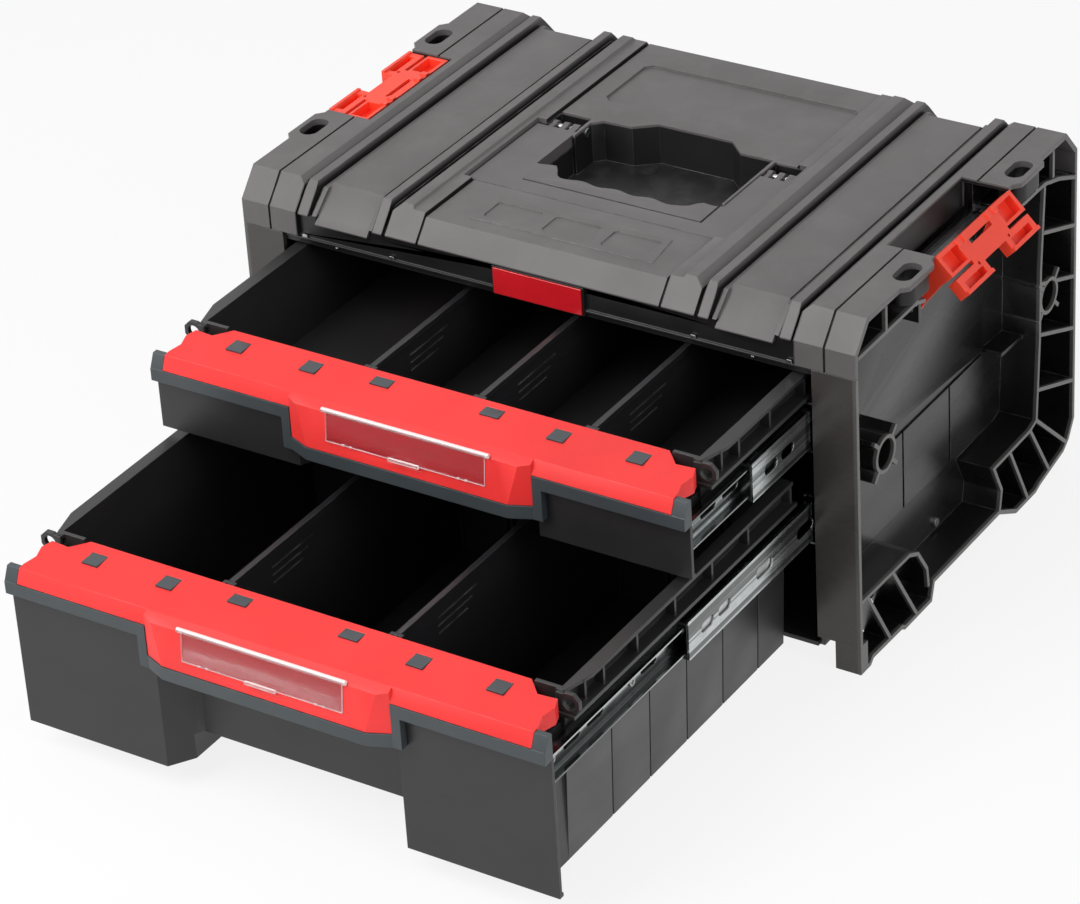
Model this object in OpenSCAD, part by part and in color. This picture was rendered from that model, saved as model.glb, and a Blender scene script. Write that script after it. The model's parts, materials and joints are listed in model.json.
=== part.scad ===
// Portable tool box with two drawers on full-extension ball runners.
// Millimetres. X is right, Y is back, Z is up. The origin is on the ground, in the middle of the case.
// Both drawers, the latches and the handle are drawn where they stand at rest.

/* [Case] */
// Width over the side frames
case_w = 450; // [430:1:480]
// Depth from the front posts to the back
case_d = 298.6; // [294:0.2:320]
// Width of each front post
post_w = 30.5; // [28:0.5:34]
// Thickness of the case's plates and ribs
wall = 3; // [2.4:0.1:3.4]
// Thickness of the top cover
cover_t = 3.5; // [3:0.1:4]
// Height of the base plate's underside above the ground
base_z = 12.5; // [11:0.5:16]
// Width of the pad under the middle of the base plate
pad_w = 36; // [24:1:50]
// Thickness of the base plate
base_t = 3; // [2.4:0.1:3.4]
// Height of the top cover's outer lands over the fascia's bottom edge
cover_h = 41.5; // [41:0.5:50]

/* [Top cover] */
// Half width of the centre plate
centre_half = 90; // [88:0.5:92]
// Depth of the troughs between the ridges under the outer lands
trough_drop = 5.5; // [5:0.1:6]
// Width of the outer lands with their slope
land_w = 44; // [42:0.5:45]
// Run of the front and back slopes
slope_run = 15.8; // [14:0.1:18]
// Drop of the front and back slopes
slope_drop = 18; // [17:0.1:19]
// Front end of the latch notches
notch_front = -48; // [-50:1:-46]
// Back end of the latch notches
notch_back = 52; // [50:1:54]
// Reach of the slotted ears past the side frames
ear_out = 4.5; // [3:0.5:6]
// Width of the slots in the ears
ear_slot_w = 13; // [11:0.5:14]
// Depth of the well below the carry handle
well_depth = 29; // [24:1:30]

/* [Carry handle] */
// Half width over the handle's arms
handle_half = 95; // [94:0.5:96]
// Half width of the handle's grip between the arms
grip_half = 69; // [66:0.5:71]
// How far the grip and the well sit to the right of the middle
grip_shift = 3.5; // [0:0.5:5]
// Gap between the handle and its seat
handle_gap = 1.6; // [0.8:0.1:2]
// Thickness of the handle
handle_t = 8; // [6:0.5:9]
// Front edge of the handle
handle_front = -80; // [-84:1:-76]
// Place of the handle's hinge along Y
handle_hinge_y = 14; // [12:1:16]
// Diameter of the handle's hinge pins
handle_pin_d = 4; // [3:0.5:5]

/* [Latches] */
// Height of the latch hinge under the outer lands
latch_hinge_drop = 38; // [34:1:40]
// Distance of the latch hinge from the case's side
latch_hinge_in = 14; // [12:1:16]
// Diameter of the latch pins
latch_pin_d = 4; // [3:0.5:5]
// Thickness of the latch plates
latch_t = 3; // [2.4:0.1:3.4]
// How far the right latch stands open, in degrees
right_latch_open = 45; // [0:1:60]

/* [Drawers] */
// Height of the lower drawer from its bottom edge to its rim
lower_h = 121.5; // [110:0.5:150]
// Height of the upper drawer
upper_h = 60.5; // [58:0.5:80]
// Gap under the lower drawer
lower_gap = 2; // [1:0.5:4]
// Gap between the drawers
drawer_gap = 5.5; // [4:0.5:8]
// Gap between the upper drawer's rim and the fascia
top_gap = 1.5; // [1:0.5:3]
// Side gap between the drawer fronts and the posts
side_gap = 1.5; // [1:0.1:2]
// How far the upper drawer stands out, as a share of its travel
upper_share = 0.4735; // [0:0.0005:1]
// How far the lower drawer stands out, as a share of its travel
lower_share = 1; // [0:0.0005:1]
// Wall of the drawer trays
tray_t = 2.6; // [2:0.1:3]
// Draft of the tray's side walls, from rim to floor
tray_draft = 4; // [3:0.5:5]
// Depth of the drawer fronts in front of the compartments
front_depth = 34.8; // [33:0.1:38]
// Half width of the finger recess at the drawer front
recess_half = 87.5; // [84:0.5:90]
// Depth of the finger recess
recess_depth = 21.5; // [18:0.5:24]
// Spacing of the divider slots
divider_pitch = 40; // [36:1:44]
// Thickness of the dividers
divider_t = 2.4; // [2:0.1:3]

/* [Front rails] */
// Thickness of the red rails
rail_t = 2.6; // [2:0.1:3]
// Height of the slate lip under the rails
lip_h = 9.3; // [8:0.1:10]
// Half width of the rail's prow between its slanted cheeks
prow_half = 73; // [70:0.5:76]
// How far the prow stands out at its lower edge
prow_out = 11.5; // [10:0.5:13]
// Half width of the label windows
window_half = 57.5; // [50:0.5:60]
// Height of the label windows
window_h = 20.5; // [16:0.5:22]
// Thickness of the label windows
window_t = 1.2; // [1:0.1:1.5]

/* [Runners] */
// Gap behind the runner members
runner_end_gap = 13.6; // [12:0.2:20]
// Full travel of a drawer
travel = 302; // [302:1:330]
// Height of the outer member
outer_h = 35; // [35:0.5:36]
// Height of the middle member
mid_h = 27; // [26.5:0.1:27.5]
// Height of the inner member
inner_h = 19.6; // [19:0.1:20]
// Thickness of a whole runner
runner_t = 12.7; // [12.5:0.1:13]
// Steel gauge of the members
steel = 1.2; // [1:0.1:1.4]
// Height of the runners' middle under the drawer's rim
runner_drop = 35.5; // [35:0.5:36]

/* [Side frames] */
// Thickness of the wall that carries the runners
bay_wall = 3.5; // [3:0.1:4]
// Outer diameter of the hub tubes
hub_d = 25.5; // [24:0.5:28]
// Bore of the hub tubes
hub_bore = 20.5; // [18:0.5:22]

/* [Hidden] */

$fn = 48;
eps = 1;
seam = 0.3;
run_gap = 0.3;

half_w = case_w / 2;
half_d = case_d / 2;
front_y = -half_d;
back_y = half_d;
bay = half_w - post_w;

lower_z = base_z + base_t + lower_gap;
lower_rim = lower_z + lower_h;
upper_z = lower_rim + drawer_gap;
upper_rim = upper_z + upper_h;
fascia_z = upper_rim + top_gap;
top_z = fascia_z + cover_h;

trough_z = top_z - trough_drop;
ridge_z = top_z - 0.5;
centre_z = trough_z + 1;
pad_z = trough_z + 1.1;
cover_low = top_z - slope_drop - 1;
pad_drop = 18.6;
pad_run = 23.8;
pad_low = pad_z - pad_drop - 1;
corner_low = cover_low - 16;
post_foot_z = base_z + 7.5;

land_in = half_w - land_w;
pad_in = 128;
pad_out = land_in - 13;
notch_in = land_in + 11;
ridge_foot = centre_half + 9;
groove_w = 1.5;
groove_depth = 1.5;
fascia_y = front_y + wall + seam;

upper_out = upper_share * travel;
lower_out = lower_share * travel;
upper_y = front_y - upper_out;
lower_y = front_y - lower_out;
tray_len = case_d - 9.9;
tray_rim_half = bay - 13.1;
front_half = bay - side_gap;
runner_y = front_y + wall - 0.2;
runner_len = case_d - runner_end_gap;

// ---------- helpers ----------

// Draws children in the (y, z) plane and extrudes them from x0 to x1
module along_x(x0, x1) {
  translate([x0, 0, 0]) rotate([90, 0, 90]) linear_extrude(x1 - x0) children();
}

// Draws children in the (x, z) plane and extrudes them from y0 to y1
module along_y(y0, y1) {
  translate([0, y1, 0]) rotate([90, 0, 0]) linear_extrude(y1 - y0) children();
}

module both_sides() {
  children();
  mirror([1, 0, 0]) children();
}

// A block between two opposite corners
module block(a, b) {
  translate(a) cube(b - a);
}

// A thin wall along a row of points, with mitred corners
module wall_line(points, t) {
  last = len(points) - 1;
  ways = [for (i = [0 : last - 1]) (points[i + 1] - points[i]) / norm(points[i + 1] - points[i])];
  sides = [for (i = [0 : last])
    let (before = ways[max(0, i - 1)], after = ways[min(last - 1, i)])
    let (mean = (before + after) / norm(before + after))
    [-mean[1], mean[0]] * t / 2 / (mean * after)];
  polygon(concat(
    [for (i = [0 : last]) points[i] + sides[i]],
    [for (i = [last : -1 : 0]) points[i] - sides[i]]
  ));
}

// A slot with round ends, length and width over all, long side along Y
module slot_outline(length, width) {
  square([width, length - width], center = true);
  for (s = [-1, 1]) {
    translate([0, s * (length - width) / 2]) circle(d = width, $fn = 32);
  }
}

// Outline of the cover seen from the side, set in by inset
function side_profile(top, run, drop, inset, low, back = 0) =
  let (
    a = atan2(drop, run),
    y1 = half_d - back - run - inset * tan(a / 2),
    y2 = half_d - back - inset,
    z2 = top - drop - inset * tan((90 - a) / 2)
  )
  [[-y2, low], [-y2, z2], [-y1, top - inset], [y1, top - inset], [y2, z2], [y2, low]];

// ---------- top cover ----------

// Raised parts of the cover seen from the front: centre plate, ridges and outer land
module raised_outline() {
  low = cover_low - eps;
  polygon([
    [-centre_half, low], [centre_half, low], [centre_half, centre_z], [-centre_half, centre_z]
  ]);
  for (s = [-1, 1]) {
    scale([s, 1]) {
      polygon([
        [centre_half - eps, low], [centre_half - eps, centre_z], [centre_half, centre_z + 2],
        [ridge_foot, centre_z + 2], [ridge_foot + 1, ridge_z], [ridge_foot + 8.5, ridge_z],
        [ridge_foot + 14.5, trough_z], [ridge_foot + 14.5, low]
      ]);
      polygon([
        [ridge_foot + 17, low], [ridge_foot + 17, trough_z], [ridge_foot + 17.8, ridge_z],
        [ridge_foot + 23.5, ridge_z], [ridge_foot + 24.5, trough_z], [ridge_foot + 24.5, low]
      ]);
      polygon([
        [land_in - 8, low], [land_in - 8, trough_z], [land_in - 7.2, ridge_z], [land_in - 1, ridge_z],
        [land_in, trough_z], [land_in + 6.5, top_z], [half_w, top_z], [half_w, low]
      ]);
    }
  }
}

module cover_body() {
  intersection() {
    along_y(front_y, back_y) raised_outline();
    along_x(-half_w, half_w) polygon(side_profile(top_z, slope_run, slope_drop, 0, cover_low));
  }
  for (x = [[-half_w, -pad_out], [-pad_in, pad_in], [pad_out, half_w]]) {
    along_x(x[0], x[1]) polygon(side_profile(trough_z, slope_run, slope_drop - 4.5, 0, cover_low, 2));
  }
  both_sides() {
    along_x(pad_in, pad_out) polygon(side_profile(pad_z, pad_run, pad_drop, 0, pad_low));
  }
}

// Corner skirts that hang over the posts
module corner_skirts() {
  both_sides() {
    for (y = [front_y, back_y - wall]) {
      block([land_in + groove_w, y, corner_low], [half_w, y + wall, cover_low + eps]);
    }
  }
}

// Narrow groove across the cover, sunk below a level and a side outline, down to its lower edge
module cover_groove(x, level, top, drop, back, low) {
  along_x(x - groove_w / 2, x + groove_w / 2) difference() {
    translate([front_y - eps, low - eps]) square([case_d + 2 * eps, top_z - low + 2 * eps]);
    intersection() {
      polygon(side_profile(top, slope_run, drop, groove_depth, low - 2 * eps, back));
      translate([front_y, low - 2 * eps]) square([case_d, level - groove_depth - low + 2 * eps]);
    }
  }
}

// Grooves at the feet of the ridges, beside the centre plate and across the outer lands
module cover_grooves() {
  beside = groove_w / 2;
  for (x = [ridge_foot + 15.75, ridge_foot + 24.5 + beside, land_in - 8 - beside, land_in + beside]) {
    cover_groove(x, trough_z, trough_z, slope_drop - 4.5, 2, cover_low);
  }
  cover_groove(centre_half - beside, centre_z, top_z, slope_drop, 0, cover_low);
  cover_groove(land_in + 22.5, top_z, top_z, slope_drop, 0, corner_low);
}

// Plate with a slot that stands out beside the latch notch, and the collar below it
module ear(y0, y1) {
  mid = (y0 + y1) / 2;
  reach = half_w + ear_out;
  translate([0, 0, top_z - cover_t]) linear_extrude(cover_t) {
    polygon([
      [half_w - 20, y0], [half_w - 1, y0], [reach, y0 + 6], [reach, y1 - 6], [half_w - 1, y1],
      [half_w - 20, y1]
    ]);
  }
  translate([reach - 10, mid, collar_low]) linear_extrude(top_z - collar_low - 1) {
    slot_outline(y1 - y0 - 10, 19);
  }
}

module ear_slot(y0, y1) {
  translate([half_w + ear_out - 10, (y0 + y1) / 2, collar_low - eps]) {
    linear_extrude(20) slot_outline(24, ear_slot_w);
  }
}

collar_low = top_z - 15;
ears = [[notch_front - 46, notch_front - 3], [notch_back + 3, notch_back + 46]];

handle_top = centre_z - 0.6;
handle_low = handle_top - handle_t;
handle_hinge_z = handle_low + handle_t / 2;
bar_back = handle_front + 27;
window_back = handle_hinge_y + 11;
arm_end = handle_hinge_y - 9;
left_in = grip_shift - grip_half;
right_in = grip_shift + grip_half;
window_w = handle_half - right_in + 1;
windows = [[left_in - window_w, left_in], [right_in, right_in + window_w]];
strip_w = 1.8;

// Outline of the well below the handle, seen from above
module well_outline(grow) {
  left = left_in + 0.5 + strip_w;
  right = right_in - 0.5 - strip_w;
  back = window_back + 1;
  polygon([
    [left_in - grow, handle_front + 10], [right + grow, handle_front + 10], [right + grow, back + grow],
    [46, back + grow], [33, back + 12 + grow], [-22, back + 12 + grow], [-36, back + 1 + grow],
    [-57, back + grow], [left - grow, back - 6], [left - grow, -0.5], [left_in - grow, -0.5]
  ]);
}

// Shallow seat around the handle and the windows behind its arms, seen from above
module seat_outline() {
  edge = handle_half + handle_gap;
  front = handle_front - handle_gap;
  for (x = [[-edge, left_in + 0.5], [right_in - 0.5, edge]]) {
    translate([x[0], front]) square([x[1] - x[0], arm_end + 2 * handle_gap - front]);
  }
  for (w = windows) translate([w[0], arm_end]) square([w[1] - w[0], window_back - arm_end]);
  translate([left_in, front]) square([right_in - left_in, bar_back + 13.5 - front]);
}

// Panel sunk into the centre plate, with cut corners
module sunk_panel(x0, y0, x1, y1, cut, depth) {
  translate([0, 0, centre_z - depth]) linear_extrude(depth + eps) polygon([
    [x0 + cut, y0], [x1 - cut, y0], [x1, y0 + cut], [x1, y1 - cut], [x1 - cut, y1], [x0 + cut, y1],
    [x0, y1 - cut], [x0, y0 + cut]
  ]);
}

module top_cover() {
  floor_z = centre_z - well_depth;
  color("#5c5859") difference() {
    union() {
      difference() {
        union() {
          cover_body();
          corner_skirts();
        }
        // hollow under the middle
        along_x(-land_in - 3, land_in + 3) {
          polygon(side_profile(pad_z, pad_run, pad_drop, cover_t + 0.4, corner_low - eps));
        }
        // hollow under the outer lands, open at the sides
        both_sides() along_x(land_in + 2, half_w + eps) {
          polygon(side_profile(top_z, slope_run, slope_drop, cover_t, corner_low - eps));
        }
      }
      both_sides() for (e = ears) ear(e[0], e[1]);
      // walls beside the notches
      both_sides() {
        block([notch_in - 2.5, notch_front - 3, cover_low - 3], [notch_in, notch_back + 3, top_z - 1]);
      }
      // raised field with three plain panels in front of the handle
      translate([0, 0, centre_z - eps]) linear_extrude(eps + 0.5) {
        polygon([[-64, -126], [71, -126], [67, -95], [-60, -95]]);
      }
      // tub of the well and of the handle's seat
      translate([0, 0, floor_z - cover_t]) linear_extrude(centre_z - floor_z) well_outline(2.5);
      translate([-handle_half - 4, handle_front - 4, handle_low - cover_t]) {
        cube([2 * handle_half + 8, window_back - handle_front + 8, centre_z - handle_low]);
      }
    }
    translate([0, 0, floor_z]) linear_extrude(well_depth + eps) well_outline(0);
    translate([0, 0, handle_low - 0.5]) linear_extrude(handle_t + 5) seat_outline();
    both_sides() {
      block([notch_in, notch_front, cover_low - 4], [half_w + ear_out + eps, notch_back, top_z + eps]);
      for (e = ears) ear_slot(e[0], e[1]);
      cover_grooves();
    }
    for (w = windows) {
      translate([w[0] - 3, handle_hinge_y, handle_hinge_z]) rotate([0, 90, 0]) {
        cylinder(d = handle_pin_d, h = window_w + 6);
      }
    }
    sunk_panel(-74, 52, centre_half - groove_w / 2, 111, 5, 1.6);
    for (x = [-40, 3, 46]) sunk_panel(x - 17, -121, x + 17, -100, 2, 0.3);
  }
}

// ---------- side frames ----------

// Centre lines of the walls that stand out from the side wall, as (y, z)
skin_line = [
  [front_y + 5, wall / 2], [front_y + 12, wall / 2], [front_y + 16, 5], [-95, 4], [-91, wall / 2],
  [-56, wall / 2], [-52, base_z + 1.5], [40, base_z + 1.5], [64, wall / 2], [92, wall / 2], [99, 4],
  [133, base_z - 1.5], [back_y - 9, base_z + 4], [back_y - wall / 2, base_z + 16],
  [back_y - wall / 2, corner_low - seam]
];
rear_rim = [
  [103, cover_low - 3], [98, lower_rim + 27], [97, lower_rim - 25], [93, lower_z + 38], [83, lower_z + 35],
  [32, lower_z + 34], [43, lower_z + 12], [40, base_z + 1.5]
];
front_rim = [
  [front_y + 2, lower_z + 35], [-84, lower_z + 34], [-73, lower_z + 29], [-61, lower_z + 11],
  [-59, base_z + 1.5]
];
top_front_rim = [[front_y + wall + seam, cover_low - 3], [-71, cover_low - 2], [-60, cover_low - 6]];
top_rear_rim = [
  [64, cover_low - 5], [72, cover_low - 3], [103, cover_low - 3], [124, cover_low - 9],
  [back_y - wall / 2, corner_low - 3]
];
slant_ribs = [
  [[102, upper_rim - 14], [back_y - 2, upper_rim - 30]], [[99, upper_rim - 50], [back_y - 2, upper_rim - 68]],
  [[97, lower_rim - 21], [back_y - 2, lower_rim - 41]], [[94, lower_rim - 61], [back_y - 2, lower_rim - 81]],
  [[55, lower_z + 34], [81, 2]], [[84, lower_z + 35], [113, 6]], [[93, lower_z + 38], [138, base_z + 2]],
  [[-106, lower_z + 34], [-75, 2]], [[-139, lower_z + 35], [-110, 4]]
];
upright_ribs = [-110, 115];
low_ribs = [-71, 91];
hubs = [[-113, lower_rim + 3], [110, lower_rim + 2]];
short_ribs = [[[66, lower_rim - 23], [97, lower_rim - 25]]];
rib_t = 2.6;
latch_x = half_w - latch_hinge_in;
latch_z = top_z - latch_hinge_drop;
latch_pin_reach = 6;
foot_in = half_w - 18;
foot_room = 53;

module hub(place) {
  for (a = [45 : 90 : 315]) {
    translate(place) rotate(a) translate([hub_d / 2 - 1, -rib_t / 2]) square([8, rib_t]);
  }
  translate(place) circle(d = hub_d);
}

// Right-hand side frame: the wall that carries the runners and the ribs round it
module side_frame() {
  under = side_profile(top_z, slope_run, slope_drop, cover_t + seam, base_z);
  difference() {
    union() {
      // wall beside the drawers
      along_x(bay, bay + bay_wall) difference() {
        polygon([
          [front_y + 1, post_foot_z], [front_y + 1, corner_low], [under[1][0], corner_low],
          under[1], under[2], under[3], under[4], [under[4][0], corner_low], [back_y - 1, corner_low],
          [back_y - 1, base_z + 14],
          [back_y - 9, base_z + 2], [back_y - 14, base_z], [front_y + wall, base_z],
          [front_y + wall, post_foot_z]
        ]);
        translate([notch_front - 3, cover_low - 5]) square([notch_back - notch_front + 6, 40]);
      }
      // post and foot
      block([bay, front_y, post_foot_z], [half_w, front_y + wall, corner_low - seam]);
      block([foot_in, front_y, 0], [half_w, front_y + 9, post_foot_z + eps]);
      along_x(bay, half_w) {
        wall_line(skin_line, wall);
        wall_line(rear_rim, rib_t);
        wall_line(front_rim, rib_t);
        wall_line(top_front_rim, rib_t);
        wall_line(top_rear_rim, rib_t);
        for (r = slant_ribs) wall_line(r, rib_t);
        for (h = hubs) hub(h);
        for (y = upright_ribs) {
          translate([y - rib_t / 2, cover_low - 4]) square([rib_t, top_z - cover_t - seam - cover_low + 4]);
        }
        for (y = low_ribs) {
          translate([y - rib_t / 2, cover_low - 4]) square([rib_t, collar_low - seam - cover_low + 4]);
        }
      }
      along_x(bay, half_w - 12) for (r = short_ribs) wall_line(r, rib_t);
      // raised panels
      block([bay, front_y + 6, lower_rim - 22], [bay + bay_wall + 2, 64, cover_low - 8]);
      for (y = [[front_y + 6, -46], [-44, 17], [19, 64]]) {
        block([bay, y[0], lower_z + 40], [bay + bay_wall + 2, y[1], lower_rim - 25]);
      }
      // ledge below the latch and its two brackets
      block([bay, notch_front - 3, cover_low - 10], [bay + 6, notch_back + 3, cover_low - 7]);
      for (y = [notch_front - 6, notch_back + 3]) {
        block([bay, y, latch_z - 8], [latch_x + 6, y + wall, cover_low - 7]);
      }
    }
    along_x(bay + bay_wall, half_w + eps) for (h = hubs) translate(h) circle(d = hub_bore);
    frame_screw_holes();
    translate([latch_x, notch_front - latch_pin_reach, latch_z]) rotate([-90, 0, 0]) {
      cylinder(d = latch_pin_d, h = notch_back - notch_front + 2 * latch_pin_reach);
    }
    // room beside the front foot
    block([bay - eps, front_y - eps, -eps], [foot_in, front_y + foot_room, base_z - seam]);
  }
}

module side_frame_left() {
  color("#3c3a3b") mirror([1, 0, 0]) side_frame();
}

module side_frame_right() {
  color("#3c3a3b") side_frame();
}

// ---------- back, base and fascia ----------

// Upright plate between the side frames whose top follows the cover's lower edge
module stepped_plate(low) {
  high = cover_low - seam;
  dip = pad_low - seam;
  polygon([
    [-bay, low], [bay, low], [bay, high], [pad_out + eps, high], [pad_out + eps, dip], [pad_in - eps, dip],
    [pad_in - eps, high], [-pad_in + eps, high], [-pad_in + eps, dip], [-pad_out - eps, dip],
    [-pad_out - eps, high], [-bay, high]
  ]);
}

module back_panel() {
  y1 = back_y - wall - seam;
  color("#3c3a3b") {
    along_y(y1 - wall, y1) stepped_plate(base_z);
    for (i = [-3 : 3]) {
      x = i * back_rib_pitch;
      block([x - 1.5, y1 - eps, base_z + 12], [x + 1.5, y1 + wall, pad_low - 8]);
    }
  }
}

module base_plate() {
  color("#2c2b2c") {
    block([-bay, front_y + 0.5, base_z], [bay, back_y - 2 * wall - 2 * seam, base_z + base_t]);
    for (i = [-4 : 4]) {
      x = i * base_rib_pitch;
      block([x - 1.2, front_y + 12, base_z - 5], [x + 1.2, back_y - 14, base_z + eps]);
    }
    block([-pad_w / 2, -pad_w / 2, 0], [pad_w / 2, pad_w / 2, base_z + eps]);
    both_sides() difference() {
      for (y = case_screw_places) {
        block([bay - boss_depth, y - 6, base_z + eps], [bay, y + 6, case_screw_z + 5]);
      }
      frame_screw_holes();
    }
  }
}

plate_half = 32.5;
back_rib_pitch = 50;
base_rib_pitch = 40;
case_screw_places = [-104, 0, 116];
case_screw_z = base_z + base_t + 6;
case_screw_d = 3;
boss_depth = 12;

// Holes of the screws that join the side frames to the base plate, and of the runners' screws
module frame_screw_holes() {
  for (y = case_screw_places) {
    translate([bay - boss_depth + 1, y, case_screw_z]) rotate([0, 90, 0]) {
      cylinder(d = case_screw_d + 0.1, h = bay_wall + boss_depth + 6);
    }
  }
  for (rim = [lower_rim, upper_rim], y = runner_screw_places) {
    translate([bay - 1, runner_y + y, rim - runner_drop]) rotate([0, 90, 0]) {
      cylinder(d = runner_screw_d + 0.1, h = bay_wall + 0.4);
    }
  }
}

module front_fascia() {
  color("#353334") {
    along_y(fascia_y, fascia_y + wall) stepped_plate(fascia_z);
    block([-bay, fascia_y - 1.6, fascia_z + 3.5], [bay, fascia_y + eps, fascia_z + 5.5]);
    edge = plate_half + 1.5;
    block([-edge, front_y + 0.8, fascia_z + 1], [edge, fascia_y + eps, cover_low - 1.2]);
  }
}

module fascia_plate() {
  color("#c8252a") {
    block([-plate_half, front_y - 0.4, fascia_z + 2.2], [plate_half, front_y + 0.8, cover_low - 2]);
  }
}

// ---------- screws and pins ----------

// Pan-head screw whose head faces +X and whose shank runs along -X
module pan_screw(head_d, head_h, shank_d, length) {
  rotate([0, 90, 0]) {
    difference() {
      cylinder(d = head_d, h = head_h);
      translate([0, 0, head_h - 1]) {
        linear_extrude(2) {
          square([head_d * 0.6, 1], center = true);
          square([1, head_d * 0.6], center = true);
        }
      }
    }
    translate([0, 0, -length]) cylinder(d = shank_d, h = length + 0.5);
  }
}

module case_screws() {
  color("#8d8f92") both_sides() {
    for (y = case_screw_places) {
      translate([bay + bay_wall, y, case_screw_z]) pan_screw(6, 2, case_screw_d, bay_wall + boss_depth - 2);
    }
  }
}

// Each pin's head stands in the well
module handle_pins() {
  head = 1.2;
  reach = window_w + 2.6 + 0.5 + strip_w;
  color("#8d8f92") for (s = [-1, 1]) {
    translate([s > 0 ? right_in - 0.5 - strip_w : left_in + 0.5 + strip_w, handle_hinge_y, handle_hinge_z]) {
      rotate([0, s * 90, 0]) {
        translate([0, 0, -head]) cylinder(d = handle_pin_d + 2.4, h = head);
        translate([0, 0, -head]) cylinder(d = handle_pin_d - 0.1, h = reach + head);
      }
    }
  }
}

module latch_pin(side) {
  reach = latch_pin_reach - 0.1;
  color("#8d8f92") translate([side * latch_x, notch_front - reach, latch_z]) rotate([-90, 0, 0]) {
    cylinder(d = latch_pin_d - 0.1, h = notch_back - notch_front + 2 * reach);
  }
}

module latch_pin_left() {
  latch_pin(-1);
}

module latch_pin_right() {
  latch_pin(1);
}

// ---------- runners, drawn on the right-hand side with their middle at z = 0 ----------

runner_screw_d = 3.4;
runner_head_d = 5.6;
lip_t = 1.1;
ball_d = 2.2;
inner_ball_d = 1.9;
race_1 = (outer_h / 2 - steel + mid_h / 2) / 2;
race_2 = (mid_h / 2 - steel + inner_h / 2) / 2;
outer_reach = 9;
mid_web = 2.4;
mid_reach = 10.8;
inner_reach = 4.9;

// C section: web from u0 to u0 + steel, flanges from u0 to u1, u measured from the case wall inwards
module c_section(height, web_u, flange_u0, flange_u1) {
  translate([bay - web_u - steel, -height / 2]) square([steel, height]);
  for (z = [-height / 2, height / 2 - steel]) {
    translate([bay - flange_u1, z]) square([flange_u1 - flange_u0, steel]);
  }
}

module outer_member() {
  difference() {
    union() {
      along_y(0, runner_len) {
        c_section(outer_h, 0, 0, outer_reach);
        for (s = [-1, 1]) {
          middle = outer_h / 2 - steel / 2 - lip_t / 2;
          translate([bay - outer_reach, s * middle - (steel + lip_t) / 2]) {
            square([0.8, steel + lip_t]);
          }
        }
      }
      // rolled ends that stop the middle member
      for (z = [-outer_h / 2 + steel, outer_h / 2 - steel - 1.6]) {
        block([bay - outer_reach + 1, runner_len - 3, z], [bay - 0.5, runner_len, z + 1.6]);
      }
    }
    for (y = runner_screw_places) {
      translate([bay - 3, y, 0]) rotate([0, 90, 0]) {
        cylinder(d = runner_screw_d + 0.6, h = 6);
        cylinder(d = runner_head_d + 0.4, h = 3 - steel + 0.8);
      }
    }
    for (k = outer_slots) {
      translate([bay - 3, k * runner_len, 0]) rotate([0, 90, 0]) linear_extrude(6) slot_outline(22, 7);
    }
  }
}

module mid_member() {
  difference() {
    along_y(0, runner_len) c_section(mid_h, mid_web, mid_web, mid_reach);
    for (y = [22, 42]) {
      translate([bay - 6, y, 0]) rotate([0, 90, 0]) linear_extrude(6) slot_outline(15, 7);
    }
    for (y = [90 : 50 : runner_len - 40]) {
      translate([bay - 6, y, 0]) rotate([0, 90, 0]) linear_extrude(6) slot_outline(20, 8);
    }
  }
}

module inner_member() {
  difference() {
    along_y(0, runner_len) c_section(inner_h, runner_t - steel, inner_reach, runner_t);
    for (y = runner_screw_places) {
      translate([bay - runner_t - 1, y, 0]) rotate([0, 90, 0]) cylinder(d = runner_screw_d + 0.6, h = 4);
    }
    for (k = inner_slots) {
      translate([bay - runner_t - 1, k * runner_len, 0]) rotate([0, 90, 0]) {
        linear_extrude(4) slot_outline(18, 6);
      }
    }
  }
}

module bumper() {
  gap = inner_h / 2 + run_gap;
  u0 = mid_web + steel;
  along_y(0, bumper_len) {
    translate([bay - u0 - 0.9, -gap - eps]) square([0.9, 2 * gap + 2 * eps]);
    for (s = [-1, 1]) {
      scale([1, s]) translate([bay - mid_reach + 0.3, gap]) {
        square([mid_reach - 0.3 - u0, mid_h / 2 - steel - gap]);
      }
    }
  }
}

// Ball cage: a thin C with a row of balls on each arm
module cage(web_u, web_t, arm_u, race, ball, ball_u, length) {
  arm_t = 0.8;
  places = [for (i = [0 : 3]) (i + 0.5) * length / 4];
  difference() {
    along_y(0, length) {
      translate([bay - web_u - web_t, -race - arm_t / 2]) square([web_t, 2 * race + arm_t]);
      for (s = [-1, 1]) {
        translate([bay - arm_u, s * race - arm_t / 2]) square([arm_u - web_u, arm_t]);
      }
    }
    for (y = places) {
      translate([bay - ball_u, y, 0]) cylinder(d = ball + 0.4, h = 2 * race + 4, center = true);
    }
  }
  for (y = places, s = [-1, 1]) {
    translate([bay - ball_u, y, s * race]) sphere(d = ball);
  }
}

bumper_len = 9;
cage_len = runner_len - travel / 2 - 2 * (bumper_len + 2);

module outer_cage() {
  cage(steel + run_gap, mid_web - steel - 2 * run_gap, outer_reach - 1.1, race_1, ball_d, 6.2, cage_len);
}

module inner_cage() {
  cage(mid_web + steel + run_gap, 0.6, mid_reach - 1.2, race_2, inner_ball_d, 7.6, cage_len);
}

runner_screw_places = [12, 0.35 * runner_len, 0.65 * runner_len, runner_len - 23];
outer_slots = [0.21, 0.53, 0.755];
inner_slots = [0.12, 0.21, 0.42, 0.53, 0.755];
tray_screw_len = 4.6;

// Places a runner piece at a height and a distance out from its closed place
module at_runner(side, rim, out) {
  translate([0, runner_y - out, rim - runner_drop]) scale([side, 1, 1]) children();
}

module upper_outer_runner_left() {
  color("#c9ccd0") at_runner(-1, upper_rim, 0) outer_member();
}

module upper_outer_runner_right() {
  color("#c9ccd0") at_runner(1, upper_rim, 0) outer_member();
}

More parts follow.
